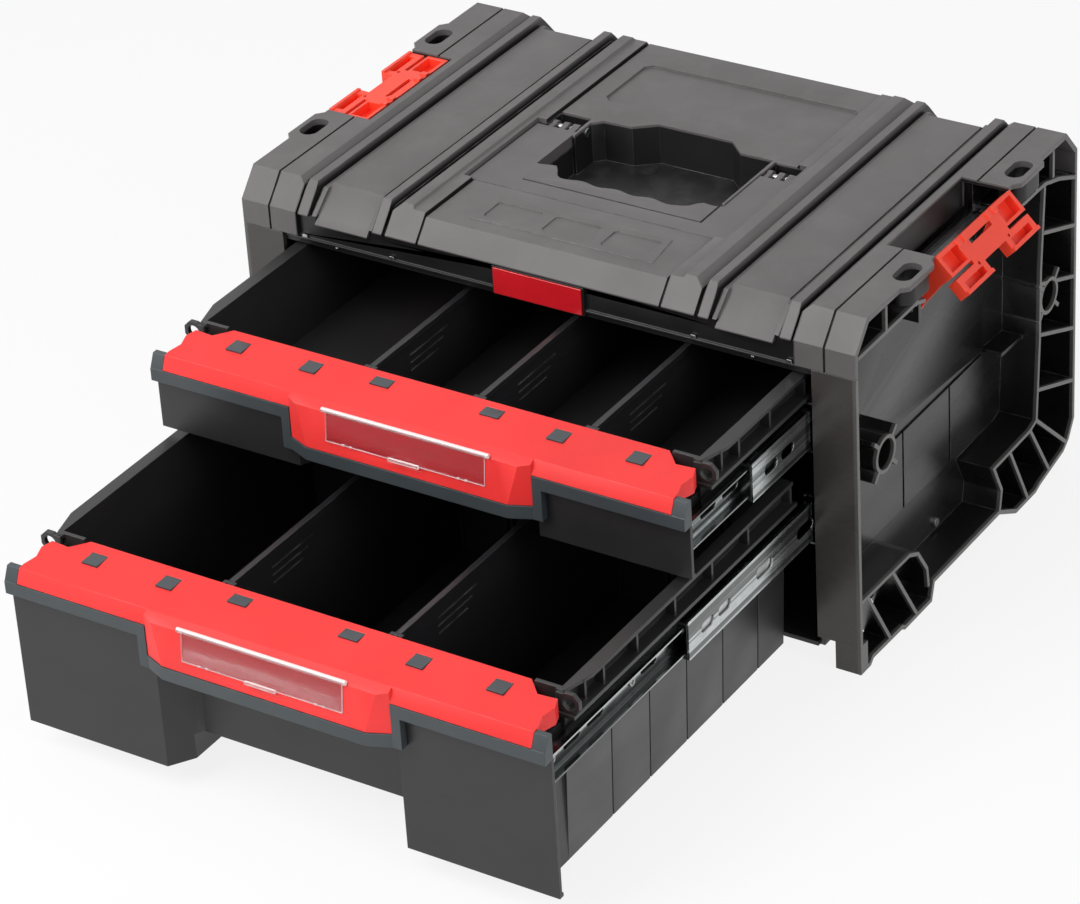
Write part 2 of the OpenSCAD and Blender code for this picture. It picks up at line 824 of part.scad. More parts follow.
module lower_outer_runner_left() {
  color("#c9ccd0") at_runner(-1, lower_rim, 0) outer_member();
}

module lower_outer_runner_right() {
  color("#c9ccd0") at_runner(1, lower_rim, 0) outer_member();
}

module case_runner_screws() {
  color("#8d8f92") for (side = [-1, 1], rim = [lower_rim, upper_rim], y = runner_screw_places) {
    at_runner(side, rim, 0) translate([bay - steel + 0.8, y, 0]) mirror([1, 0, 0]) {
      pan_screw(runner_head_d, 0.7, runner_screw_d, bay_wall - 0.4);
    }
  }
}

module upper_mid_runner_left() {
  color("#c9ccd0") at_runner(-1, upper_rim, upper_out / 2) mid_member();
}

module upper_mid_runner_right() {
  color("#c9ccd0") at_runner(1, upper_rim, upper_out / 2) mid_member();
}

module lower_mid_runner_left() {
  color("#c9ccd0") at_runner(-1, lower_rim, lower_out / 2) mid_member();
}

module lower_mid_runner_right() {
  color("#c9ccd0") at_runner(1, lower_rim, lower_out / 2) mid_member();
}

module upper_bumpers() {
  color("#202020") for (side = [-1, 1]) at_runner(side, upper_rim, upper_out / 2) bumper();
}

module lower_bumpers() {
  color("#202020") for (side = [-1, 1]) at_runner(side, lower_rim, lower_out / 2) bumper();
}

cage_y = (runner_len - cage_len) / 2;

module upper_outer_cages() {
  color("#a7a9ac") for (side = [-1, 1]) {
    at_runner(side, upper_rim, upper_out / 4) translate([0, cage_y, 0]) outer_cage();
  }
}

module upper_inner_cages() {
  color("#a7a9ac") for (side = [-1, 1]) {
    at_runner(side, upper_rim, upper_out * 3 / 4) translate([0, cage_y, 0]) inner_cage();
  }
}

module lower_outer_cages() {
  color("#a7a9ac") for (side = [-1, 1]) {
    at_runner(side, lower_rim, lower_out / 4) translate([0, cage_y, 0]) outer_cage();
  }
}

module lower_inner_cages() {
  color("#a7a9ac") for (side = [-1, 1]) {
    at_runner(side, lower_rim, lower_out * 3 / 4) translate([0, cage_y, 0]) inner_cage();
  }
}

module upper_inner_runner_left() {
  color("#c9ccd0") at_runner(-1, upper_rim, upper_out) inner_member();
}

module upper_inner_runner_right() {
  color("#c9ccd0") at_runner(1, upper_rim, upper_out) inner_member();
}

module lower_inner_runner_left() {
  color("#c9ccd0") at_runner(-1, lower_rim, lower_out) inner_member();
}

module lower_inner_runner_right() {
  color("#c9ccd0") at_runner(1, lower_rim, lower_out) inner_member();
}

module tray_screws(rim, out) {
  color("#8d8f92") for (side = [-1, 1], y = runner_screw_places) {
    at_runner(side, rim, out) translate([bay - runner_t + steel, y, 0]) {
      pan_screw(runner_head_d, 1.2, runner_screw_d, tray_screw_len);
    }
  }
}

module upper_tray_screws() {
  tray_screws(upper_rim, upper_out);
}

module lower_tray_screws() {
  tray_screws(lower_rim, lower_out);
}

// ---------- carry handle ----------

// Front bar with its finger waves and raised ends, seen from above
module handle_bar_outline() {
  steps = 40;
  wave = [for (i = [0 : steps])
    let (x = right_in - 2 * grip_half * i / steps, end = min(1, max(0, abs(x - grip_shift) - 46) / 10))
    [x, bar_back + 1.3 * cos(x * 14) + 11 * end * end * (3 - 2 * end)]];
  polygon(concat([[left_in, handle_front], [right_in, handle_front]], wave));
}

// Knuckles of one arm, as spans from the window's left edge
lug_spans = [[1, 4.2], [9, 13], [16, 21]];

module carry_handle() {
  line_z = handle_top - 1.6;
  line_y = handle_front + 13.6;
  grip_end = right_in - 3.5;
  color("#5c5859") difference() {
    union() {
      translate([0, 0, handle_low]) linear_extrude(handle_t) {
        handle_bar_outline();
        for (e = [[-handle_half, left_in], [handle_half, right_in]]) {
          way = sign(e[0]);
          polygon([
            [e[1] - way, handle_front], [e[0] - 3 * way, handle_front], [e[0], handle_front + 3],
            [e[0], arm_end], [e[1], arm_end], [e[1], bar_back + 10], [e[1] - way, bar_back]
          ]);
        }
      }
      // thicker grip below the bar
      translate([grip_shift, 0, handle_low - 4]) linear_extrude(5) {
        polygon([
          [-grip_half + 12, handle_front + 14], [grip_half - 12, handle_front + 14],
          [grip_half - 16, bar_back - 1], [-grip_half + 16, bar_back - 1]
        ]);
      }
      // hinge knuckles
      for (w = windows, span = lug_spans) {
        translate([w[0] + span[0], handle_hinge_y, handle_hinge_z]) {
          block([0, arm_end - 1 - handle_hinge_y, -3], [span[1] - span[0], 0, 3]);
          rotate([0, 90, 0]) cylinder(r = handle_t / 2 - 0.2, h = span[1] - span[0]);
        }
      }
    }
    for (w = windows) translate([w[0], handle_hinge_y, handle_hinge_z]) rotate([0, 90, 0]) {
      cylinder(d = handle_pin_d + 0.04, h = window_w);
    }
    // groove round the grip and lines along the frame
    block([left_in + 3.5, line_y, line_z], [grip_end, line_y + 1.8, handle_top + eps]);
    block([grip_end, line_y, line_z], [grip_end + 1.8, bar_back + 13.5, handle_top + eps]);
  }
}

// ---------- latches ----------

// Right-hand latch, closed, with its hinge at the origin
module latch_shape() {
  high = latch_hinge_drop - 1.5;
  y0 = notch_front + 1;
  y1 = notch_back - 1;
  mid = (y0 + y1) / 2;
  reach = latch_hinge_in;
  inner = bay + 0.8 - latch_x;
  step = 26;
  side = inner + 14;
  difference() {
    union() {
      // plate
      block([inner, y0 + 1, high - latch_t], [reach - 8, y1 - 1, high]);
      // floors of the lowered ends
      for (y = [[y0 + 1, mid - step + latch_t], [mid + step - latch_t, y1 - 1]]) {
        block([inner, y[0], high - 7 - latch_t], [side + 2, y[1], high - eps]);
      }
      // two hollow pull tabs
      for (y = [[y0 + 1, mid - 14], [mid + 14, y1 - 1]]) {
        block([reach - 11, y[0], high - 8], [reach + 1, y[1], high]);
        block([reach - 1.4, y[0], high - eps], [reach + 1, y[1], high + 1.2]);
      }
      // teeth on the plate's inner edge
      for (y = [mid - 24 : 8 : mid - 16], s = [-1, 1]) {
        block([inner, mid + s * (mid - y) - 2, high - eps], [inner + 5, mid + s * (mid - y) + 2, high + 1.2]);
      }
      // end arms down to the hinge
      for (y = [y0, y1 - latch_t]) {
        along_y(y, y + latch_t) {
          polygon([
            [-4, 0], [4, 0], [side + 2, high - 12], [side + 2, high], [inner, high], [inner, high - 10]
          ]);
          circle(r = 4.4);
        }
      }
      // hook bar that grips the box above or below
      block([inner, y0 + eps, high - 9], [inner + latch_t, y1 - eps, high - eps]);
    }
    // lowered ends beside the tabs
    for (y = [[y0 + latch_t, mid - step], [mid + step, y1 - latch_t]]) {
      block([inner + 2.4, y[0], high - 7], [side, y[1], high + eps]);
    }
    for (y = [[y0 - eps, mid - step + 2], [mid + step - 2, y1 + eps]]) {
      block([side + 2, y[0], high - 12], [reach - 11, y[1], high + eps]);
    }
    // pockets of the tabs, seen from above and from outside
    for (y = [[y0 + 6, mid - 19], [mid + 19, y1 - 6]]) {
      block([reach - 6.6, y[0], high - 6.4], [reach - 1.6, y[1], high + 2]);
    }
    block([inner + 5.5, mid - 14, high - latch_t - eps], [inner + 8.7, mid + 14, high + eps]);
    for (y = [mid - 20, mid + 20]) {
      translate([reach - 9, y, high - 10]) cylinder(d = 2.6, h = 12);
    }
    rotate([90, 0, 0]) cylinder(d = latch_pin_d + 0.04, h = case_d, center = true);
  }
}

module latch_left() {
  color("#f0401f") mirror([1, 0, 0]) translate([latch_x, 0, latch_z]) latch_shape();
}

module latch_right() {
  color("#f0401f") translate([latch_x, 0, latch_z]) rotate([0, right_latch_open, 0]) latch_shape();
}

// ---------- drawers, drawn with the block's front face at y = 0 and the rim at z = 0 ----------

deck = -24.5;
ledge = -14;
flange_half = bay - 7;
eye_x = bay - 8.5;
wall_top = -5;
ledge_half = bay - 4.5;
comp_y = front_depth + tray_t;
groove_pitch = 43;
rail_end = 161.5;

// Half width of the tray's outer wall at a depth below the rim
function tray_half(depth, height) = tray_rim_half - tray_draft * depth / height;

// Outline of the tray seen from the front, set in by inset
module tray_section(height, inset, top, floor_t) {
  a = tray_rim_half + tray_draft * top / height - inset;
  b = tray_rim_half - tray_draft - inset;
  polygon([[-b, floor_t - height], [b, floor_t - height], [a, top], [-a, top]]);
}

// Plan of the drawer front with its finger recess, set in by inset
module front_plan(inset) {
  side = tray_rim_half - 1 - inset;
  cheek = recess_half - prow_half;
  k = inset * (norm([cheek, recess_depth]) - cheek) / recess_depth;
  polygon([
    [-side, inset], [-recess_half - k, inset], [-prow_half - k, recess_depth + inset],
    [prow_half + k, recess_depth + inset], [recess_half + k, inset], [side, inset],
    [side, front_depth + eps], [-side, front_depth + eps]
  ]);
}

// Slope cut out of the lower edge in the middle of the front
module toe_cut(toe, height, grow) {
  if (toe > 0) {
    along_x(-prow_half - 4 - grow, prow_half + 4 + grow) {
      polygon([
        [-eps, -height - eps], [-eps, toe - height + grow], [recess_depth + grow, toe - height + grow],
        [recess_depth + 2.2 * toe + grow, -height - eps]
      ]);
    }
  }
}

module tray(height, toe) {
  run_z = -runner_drop;
  rib_places = concat(
    [for (y = [-3, 14, 32]) front_depth + y], [for (y = [front_depth + 69 : groove_pitch : tray_len - 20]) y],
    [tray_len - 4]
  );
  difference() {
    union() {
      along_y(front_depth, tray_len) tray_section(height, 0, 0, 0);
      translate([0, 0, -height]) linear_extrude(height + deck) {
        intersection() {
          front_plan(0);
          floor_half = tray_rim_half - tray_draft;
          translate([-floor_half, 0]) square([2 * floor_half, front_depth + eps]);
        }
      }
      // front flange that covers the runners, with its small foot
      both_sides() {
        block([tray_rim_half - 8, 0, -height], [front_half, tray_t, deck]);
        block([front_half - 5, 0, -height], [front_half, 4, 2.4 - height]);
      }
      // rim flange, runner ledge and the ribs between them
      both_sides() {
        translate([0, 0, -tray_t]) linear_extrude(tray_t) polygon([
          [tray_rim_half - 5, front_depth - 1], [tray_rim_half, front_depth - 1],
          [flange_half, front_depth + 21], [flange_half, tray_len], [tray_rim_half - 5, tray_len]
        ]);
        block([tray_rim_half - 6, front_depth - 4, ledge - tray_t], [ledge_half, tray_len, ledge]);
        for (y = rib_places) {
          reach = y < front_depth + 20 ? tray_rim_half + 1 + (y - front_depth + 3) * 0.22 : flange_half;
          block([tray_rim_half - 4, y, ledge - eps], [reach, y + 2, -eps]);
        }
        // ribs that carry the inner runner member
        for (z = [run_z - 8, run_z + 6]) {
          block([tray_rim_half - 6, 4, z], [bay - runner_t, tray_len - 2, z + 2]);
        }
        for (y = runner_screw_places) {
          translate([tray_rim_half - 6, y + runner_y - front_y - 5, run_z - 7]) {
            cube([bay - runner_t - tray_rim_half + 6, 10, 14]);
          }
        }
        // eye at the front corner
        along_y(front_depth - 3, front_depth) {
          translate([eye_x, -7]) rotate(22.5) circle(r = 7.4, $fn = 8);
          translate([tray_rim_half - 6, ledge - eps]) square([11.5, 8]);
        }
      }
    }
    // compartments
    difference() {
      along_y(comp_y, tray_len - tray_t) tray_section(height, tray_t, eps, tray_t);
      toe_cut(toe, height, tray_t);
    }
    // hollow of the front
    difference() {
      translate([0, 0, tray_t - height]) linear_extrude(height + deck) {
        intersection() {
          front_plan(tray_t);
          translate([-tray_rim_half + 8, 0]) square([2 * tray_rim_half - 16, front_depth]);
        }
      }
      toe_cut(toe, height, tray_t);
    }
    toe_cut(toe, height, 0);
    // lower front wall under the rail
    block([-rail_end, front_depth - eps, wall_top], [rail_end, comp_y + eps, eps]);
    // pilot holes of the runner screws
    both_sides() for (y = runner_screw_places) {
      translate([bay - runner_t + steel - tray_screw_len - 0.4, y + runner_y - front_y, run_z]) {
        rotate([0, 90, 0]) cylinder(d = runner_screw_d + 0.1, h = tray_screw_len + 4);
      }
    }
    // round hole of the eye
    both_sides() translate([eye_x, front_depth + eps, -7]) rotate([90, 0, 0]) {
      cylinder(d = 8.6, h = 6);
    }
    // fine upright grooves outside
    both_sides() for (y = [front_depth + 49 : groove_pitch : tray_len - 10]) {
      along_y(y, y + 1.2) polygon([
        [tray_half(height, height) - 0.8, -height - eps], [tray_half(height, height) + eps, -height - eps],
        [tray_half(54, height) + 2, -54], [tray_half(54, height) - 0.8, -54]
      ]);
    }
  }
  // guides for the dividers
  floor_z = tray_t - height;
  for (x = divider_slots, s = [-1, 1]) {
    guide = divider_t / 2 + 0.35;
    x0 = s > 0 ? x + guide : x - guide - 1.6;
    block([x0, comp_y - eps, max(floor_z, toe - height + tray_t) - 0.5], [x0 + 1.6, comp_y + 4, -12]);
    block([x0, tray_len - tray_t - 4, floor_z - 0.5], [x0 + 1.6, tray_len - tray_t + eps, -12]);
  }
}

divider_slots = [for (i = [-3.5 : 1 : 3.5]) i * divider_pitch];
toe_lower = 17.5;

module at_drawer(y, rim) {
  translate([0, y, rim]) children();
}

module upper_tray() {
  color("#262526") at_drawer(upper_y, upper_rim) tray(upper_h, 0);
}

module lower_tray() {
  color("#262526") at_drawer(lower_y, lower_rim) tray(lower_h, toe_lower);
}

// Divider across the depth of a tray, with a bead on top and a fork at its front end
module divider(height, toe) {
  y0 = comp_y + 0.4;
  y1 = tray_len - tray_t - 0.4;
  floor_z = tray_t + 0.4 - height;
  top = -6.5;
  bead = 2;
  run = y1 - y0;
  toe_y = recess_depth + 2.2 * toe + tray_t + 3;
  difference() {
    union() {
      along_x(-divider_t / 2, divider_t / 2) {
        if (toe > 0) {
          polygon([[y0, toe - height + tray_t + 1.5], [y0, top], [y1, top], [y1, floor_z], [toe_y, floor_z]]);
        } else {
          polygon([[y0, floor_z], [y0, top], [y1, top], [y1, floor_z]]);
        }
      }
      block([-bead, comp_y + 6, top - 3], [bead, y1 - 4.6, top + 0.6]);
      block([-4.4, comp_y + 6, top - 3.5], [4.4, comp_y + 8.5, top + 0.8]);
      for (x = [-4.4, 2.4]) block([x, comp_y + 0.6, top - 3.5], [x + 2, comp_y + 7, top + 0.8]);
    }
    for (k = [0 : 2]) {
      z = top - 12 - 5.5 * k;
      block([divider_t / 2 - 0.7, y0 + 0.19 * run, z], [divider_t, y0 + 0.36 * run - 5.5 * k, z + 1.2]);
    }
  }
}

module at_divider(y, rim, slot) {
  at_drawer(y, rim) translate([slot * divider_pitch, 0, 0]) children();
}

module upper_divider_left() {
  color("#3a3a3c") at_divider(upper_y, upper_rim, -1.5) divider(upper_h, 0);
}

module upper_divider_middle() {
  color("#3a3a3c") at_divider(upper_y, upper_rim, 0.5) divider(upper_h, 0);
}

module upper_divider_right() {
  color("#3a3a3c") at_divider(upper_y, upper_rim, 2.5) divider(upper_h, 0);
}

module lower_divider_left() {
  color("#3a3a3c") at_divider(lower_y, lower_rim, -1.5) divider(lower_h, toe_lower);
}

module lower_divider_right() {
  color("#3a3a3c") at_divider(lower_y, lower_rim, 1.5) divider(lower_h, toe_lower);
}

// ---------- front rails and lips ----------

rail_low = deck + lip_h;
rail_edge = -6;
rail_back = -2;
prow_low = deck - 12;
prow_top = -9.5;
prow_lean = 3;
prow_back = -2.5;
lip_out = 6;
post_in = bay - 10.5;

// Plan of the rail: notched at its ends and drawn in at the back
module rail_plan(inset) {
  e = post_in - seam - inset;
  b = comp_y - inset;
  polygon([
    [-e, -8], [e, -8], [e, 3 - inset], [181 - inset, 12], [e, 21], [181 - inset, b - 9],
    [168 - inset, b - 10], [158 - inset, b], [-158 + inset, b],
    [-168 + inset, b - 10], [-181 + inset, b - 9], [-e, 21], [-181 + inset, 12], [-e, 3 - inset]
  ]);
}

// Plan of the prow with its slanted cheeks
module prow_plan(inset) {
  k = 0.5 * inset;
  polygon([
    [-recess_half + inset, front_depth], [-recess_half + inset, -5.5 + k], [-prow_half + k, inset - prow_out],
    [prow_half - k, inset - prow_out], [recess_half - inset, -5.5 + k], [recess_half - inset, front_depth]
  ]);
}

module rail_solid(inset) {
  low = inset > 0 ? rail_low - eps : rail_low;
  intersection() {
    translate([0, 0, -40]) linear_extrude(40) rail_plan(inset);
    along_x(-bay, bay) polygon([
      [inset - 5.5, low], [inset * 0.8 - 1.5, rail_edge - inset], [front_depth + 5, rail_back + 0.5 - inset],
      [front_depth + 5, low]
    ]);
  }
}

module prow_solid(inset) {
  low = inset > 0 ? prow_low - eps : prow_low;
  intersection() {
    translate([0, 0, prow_low - 2]) linear_extrude(-prow_low + 2) prow_plan(inset);
    along_x(-bay, bay) polygon([
      [inset - prow_out, low], [inset - prow_out + prow_lean, prow_top - inset * 0.4],
      [inset * 0.8 - 1.5, rail_edge - inset], [7, rail_edge - inset + 0.4], [7, rail_low - 3],
      [prow_back, rail_low - 6], [prow_back, low]
    ]);
  }
}

// Plugs that lock the rail to the lip: middle along X and Y, width and length
plugs = [[145, 23.8, 11.5, 11.5], [89.8, 23.8, 11.5, 11.5], [39.9, 27.6, 13.5, 8.5]];

// The label window's frame: hinge at the origin, window hanging down
window_hinge_y = prow_lean - prow_out - 0.3;
window_hinge_z = -8;
window_lean = atan(prow_lean / (prow_top - prow_low));
hinge_r = 1.6;

module at_window() {
  translate([0, window_hinge_y, window_hinge_z]) rotate([-window_lean, 0, 0]) children();
}

module rail() {
  difference() {
    union() {
      difference() {
        rail_solid(0);
        rail_solid(rail_t);
      }
      difference() {
        prow_solid(0);
        prow_solid(rail_t);
        // opens the prow into the rail behind it
        block([-prow_half + 3, 0.5, prow_low - eps], [prow_half - 3, 12, rail_edge - rail_t - 0.8]);
      }
    }
    // room in the rail for the hollow of the prow
    intersection() {
      rail_solid(rail_t);
      block([-recess_half, -4, rail_low - eps], [recess_half, front_depth, 0]);
    }
    // room for the tray's front wall, and for the plugs
    block([-bay, front_depth - seam, rail_low - eps], [bay, front_depth + 9, wall_top + seam]);
    both_sides() for (p = plugs) {
      w = p[2] / 2 + 0.2;
      l = p[3] / 2 + 0.2;
      block([p[0] - w, p[1] - l, -16], [p[0] + w, p[1] + l, eps]);
    }
    at_window() {
      block([-window_half - 0.4, -6, -window_h - 0.4], [window_half + 0.4, window_t / 2 + 0.3, 2.4]);
      block([-window_half - 3.4, -6, -2.2], [window_half + 3.4, hinge_r + 0.3, 2.6]);
      // finger scoop below the window
      block([-12, -6, -window_h - 3], [12, window_t / 2 + 0.3, -window_h + eps]);
    }
  }
}

module upper_rail() {
  color("#d8262c") at_drawer(upper_y, upper_rim) rail();
}

module lower_rail() {
  color("#d8262c") at_drawer(lower_y, lower_rim) rail();
}

module lip() {
  under = rail_t + seam;
  bar_in = recess_half + 6.5;
  inside = recess_half - rail_t - 0.6;
  difference() {
    union() {
      // bar under the rail, and its corner posts
      for (s = [-1, 1]) {
        scale([s, 1, 1]) {
          block([recess_half + seam, -lip_out, deck + seam], [front_half, tray_t - seam, rail_low - seam]);
          block([recess_half + seam, -lip_out, prow_low - lip_h], [bar_in, -seam, rail_low - seam]);
        }
      }
      intersection() {
        translate([0, 0, prow_low - lip_h]) linear_extrude(lip_h - seam) prow_plan(-0.6);
        block([-bay, -20, prow_low - lip_h - eps], [bay, -seam, 0]);
      }
      // wall behind the prow, joined to the bars and to the deck
      block([-bar_in, prow_back + seam, prow_low - lip_h], [bar_in, -seam, rail_low - 7]);
      block([-inside, prow_back + seam, rail_low - 8], [inside, 2.2, rail_low - seam]);
      // deck under the rail
      intersection() {
        rail_solid(under);
        block([-bay, -20, deck + seam], [bay, front_depth, 0]);
      }
    }
    // hollow of the deck
    intersection() {
      rail_solid(under + 2);
      block([-bay, 2.2, rail_low - 10], [bay, front_depth, 0]);
    }
  }
  both_sides() for (p = plugs) {
    z = rail_edge + (rail_back - rail_edge + 0.5) * (p[1] + 1.5) / (front_depth + 6.5);
    block([p[0] - p[2] / 2, p[1] - p[3] / 2, z - under - 2], [p[0] + p[2] / 2, p[1] + p[3] / 2, z + 0.5]);
  }
  // corner posts beside the rail
  both_sides() along_x(post_in, front_half) polygon([
    [-lip_out, deck + seam], [-lip_out + 0.5, rail_low], [-1.5, rail_edge - 0.5],
    [tray_t - seam, rail_edge - 0.5], [tray_t - seam, deck + seam]
  ]);
}

module upper_lip() {
  color("#4a5157") at_drawer(upper_y, upper_rim) lip();
}

module lower_lip() {
  color("#4a5157") at_drawer(lower_y, lower_rim) lip();
}

module label_window() {
  at_window() {
    block([-window_half, -window_t / 2, -window_h], [window_half, window_t / 2, 0]);
    translate([-window_half - 2.8, 0, 0]) rotate([0, 90, 0]) cylinder(r = hinge_r, h = 2 * window_half + 5.6);
    block([-11, -window_t / 2 - 1.6, -window_h - 0.6], [11, -window_t / 2 + 0.3, -window_h + 1.4]);
  }
}

module upper_label_window() {
  color("#e8d8d8") at_drawer(upper_y, upper_rim) label_window();
}

module lower_label_window() {
  color("#e8d8d8") at_drawer(lower_y, lower_rim) label_window();
}

// ---------- nodes ----------

top_cover();
side_frame_left();
side_frame_right();
back_panel();
base_plate();
front_fascia();
fascia_plate();
case_screws();
handle_pins();
latch_pin_left();
latch_pin_right();
upper_outer_runner_left();
upper_outer_runner_right();
lower_outer_runner_left();
lower_outer_runner_right();
case_runner_screws();
carry_handle();
latch_left();
latch_right();
upper_tray();
upper_lip();
upper_rail();
upper_divider_left();
upper_divider_middle();
upper_divider_right();
upper_inner_runner_left();
upper_inner_runner_right();
upper_tray_screws();
lower_tray();
lower_lip();
lower_rail();
lower_divider_left();
lower_divider_right();
lower_inner_runner_left();
lower_inner_runner_right();
lower_tray_screws();
upper_mid_runner_left();
upper_mid_runner_right();
upper_bumpers();
lower_mid_runner_left();
lower_mid_runner_right();
lower_bumpers();
upper_outer_cages();
upper_inner_cages();
lower_outer_cages();
lower_inner_cages();
upper_label_window();
lower_label_window();
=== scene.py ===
"""Looks of a portable tool box with two drawers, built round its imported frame.

Metres, X to the right, Y to the back, Z up. Each finish is a small class that builds its own material,
and each sub-assembly is a class that dresses the frame's nodes and adds the small pieces that only the
looks need.
"""

import json
import logging
import math
from dataclasses import dataclass
from enum import Enum
from typing import Any, Sequence

import bmesh
import bpy
from mathutils import Matrix, Vector

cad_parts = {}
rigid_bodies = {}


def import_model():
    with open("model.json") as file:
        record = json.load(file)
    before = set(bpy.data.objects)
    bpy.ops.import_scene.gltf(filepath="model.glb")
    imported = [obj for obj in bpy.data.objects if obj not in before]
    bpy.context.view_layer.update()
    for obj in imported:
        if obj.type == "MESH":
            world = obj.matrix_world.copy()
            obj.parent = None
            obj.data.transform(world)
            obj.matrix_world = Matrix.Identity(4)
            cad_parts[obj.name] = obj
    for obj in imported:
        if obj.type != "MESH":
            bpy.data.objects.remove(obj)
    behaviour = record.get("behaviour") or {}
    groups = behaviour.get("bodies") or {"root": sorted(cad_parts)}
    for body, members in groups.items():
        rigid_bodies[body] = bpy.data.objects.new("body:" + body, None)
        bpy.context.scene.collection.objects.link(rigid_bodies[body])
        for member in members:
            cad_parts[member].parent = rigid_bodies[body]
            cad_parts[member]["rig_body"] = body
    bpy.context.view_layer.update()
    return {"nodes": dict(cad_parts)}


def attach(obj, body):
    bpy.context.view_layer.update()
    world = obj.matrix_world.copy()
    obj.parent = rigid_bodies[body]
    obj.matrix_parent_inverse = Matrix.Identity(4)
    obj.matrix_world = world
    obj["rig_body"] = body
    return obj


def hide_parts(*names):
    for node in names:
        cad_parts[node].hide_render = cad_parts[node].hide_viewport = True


log = logging.getLogger("tool_box")

MM = 0.001
SIDES = ("left", "right")
UPPER_RIM = 205 * MM
LOWER_RIM = 139 * MM
FACING_FRONT = (math.pi / 2, 0.0, 0.0)
Vec = tuple[float, float, float]
Settings = dict[str, Any] | None
Values = dict[Any, Any] | None


# ---------------------------------------------------------------- shader maths


class Wire:
    """A shader value that takes part in Python arithmetic."""

    def __init__(self, graph: "Graph", socket: bpy.types.NodeSocket) -> None:
        """Wraps an output socket of a graph's node."""
        self.graph = graph
        self.socket = socket

    def _math(self, operation: str, *values: Any) -> "Wire":
        """Adds one Math node that works on these values."""
        made = self.graph.node("ShaderNodeMath", {"operation": operation}, dict(enumerate(values)))
        return Wire(self.graph, made.outputs[0])

    def __add__(self, other: Any) -> "Wire":
        """Sum."""
        return self._math("ADD", self, other)

    def __sub__(self, other: Any) -> "Wire":
        """Difference."""
        return self._math("SUBTRACT", self, other)

    def __mul__(self, other: Any) -> "Wire":
        """Product."""
        return self._math("MULTIPLY", self, other)

    def absolute(self) -> "Wire":
        """This value without its sign."""
        return self._math("ABSOLUTE", self)

    def within(self, low: float, high: float, soft: float) -> "Wire":
        """1 between low and high, and 0 outside, with a soft change."""
        return self.step(low - soft, low + soft) * self.step(high + soft, high - soft)

    def step(self, low: float, high: float, start: float = 0.0, end: float = 1.0) -> "Wire":
        """Maps low..high to start..end, held at both ends.

        Args:
            low: Value that becomes start.
            high: Value that becomes end.
            start: Result at low.
            end: Result at high.

        Returns:
            The mapped value.
        """
        made = self.graph.node(
            "ShaderNodeMapRange", {"clamp": True}, {"Value": self, 1: low, 2: high, 3: start, 4: end}
        )
        return Wire(self.graph, made.outputs[0])


class Nodes:
    """A node tree whose nodes all come from one method."""

    def __init__(self, tree: bpy.types.NodeTree) -> None:
        """Keeps the tree."""
        self.tree = tree

    def node(self, kind: str, settings: Settings = None, values: Values = None) -> Any:
        """Adds a node.

        Args:
            kind: The node's type name.
            settings: Its own settings, which are set first.
            values: Values or links by input name or index.

        Returns:
            The node.
        """
        made = self.tree.nodes.new(kind)
        for key, value in (settings or {}).items():
            setattr(made, key, value)
        for key, value in (values or {}).items():
            for part in value if isinstance(value, list) else [value]:
                if isinstance(part, Wire):
                    self.tree.links.new(part.socket, made.inputs[key])
                else:
                    made.inputs[key].default_value = part
        return made


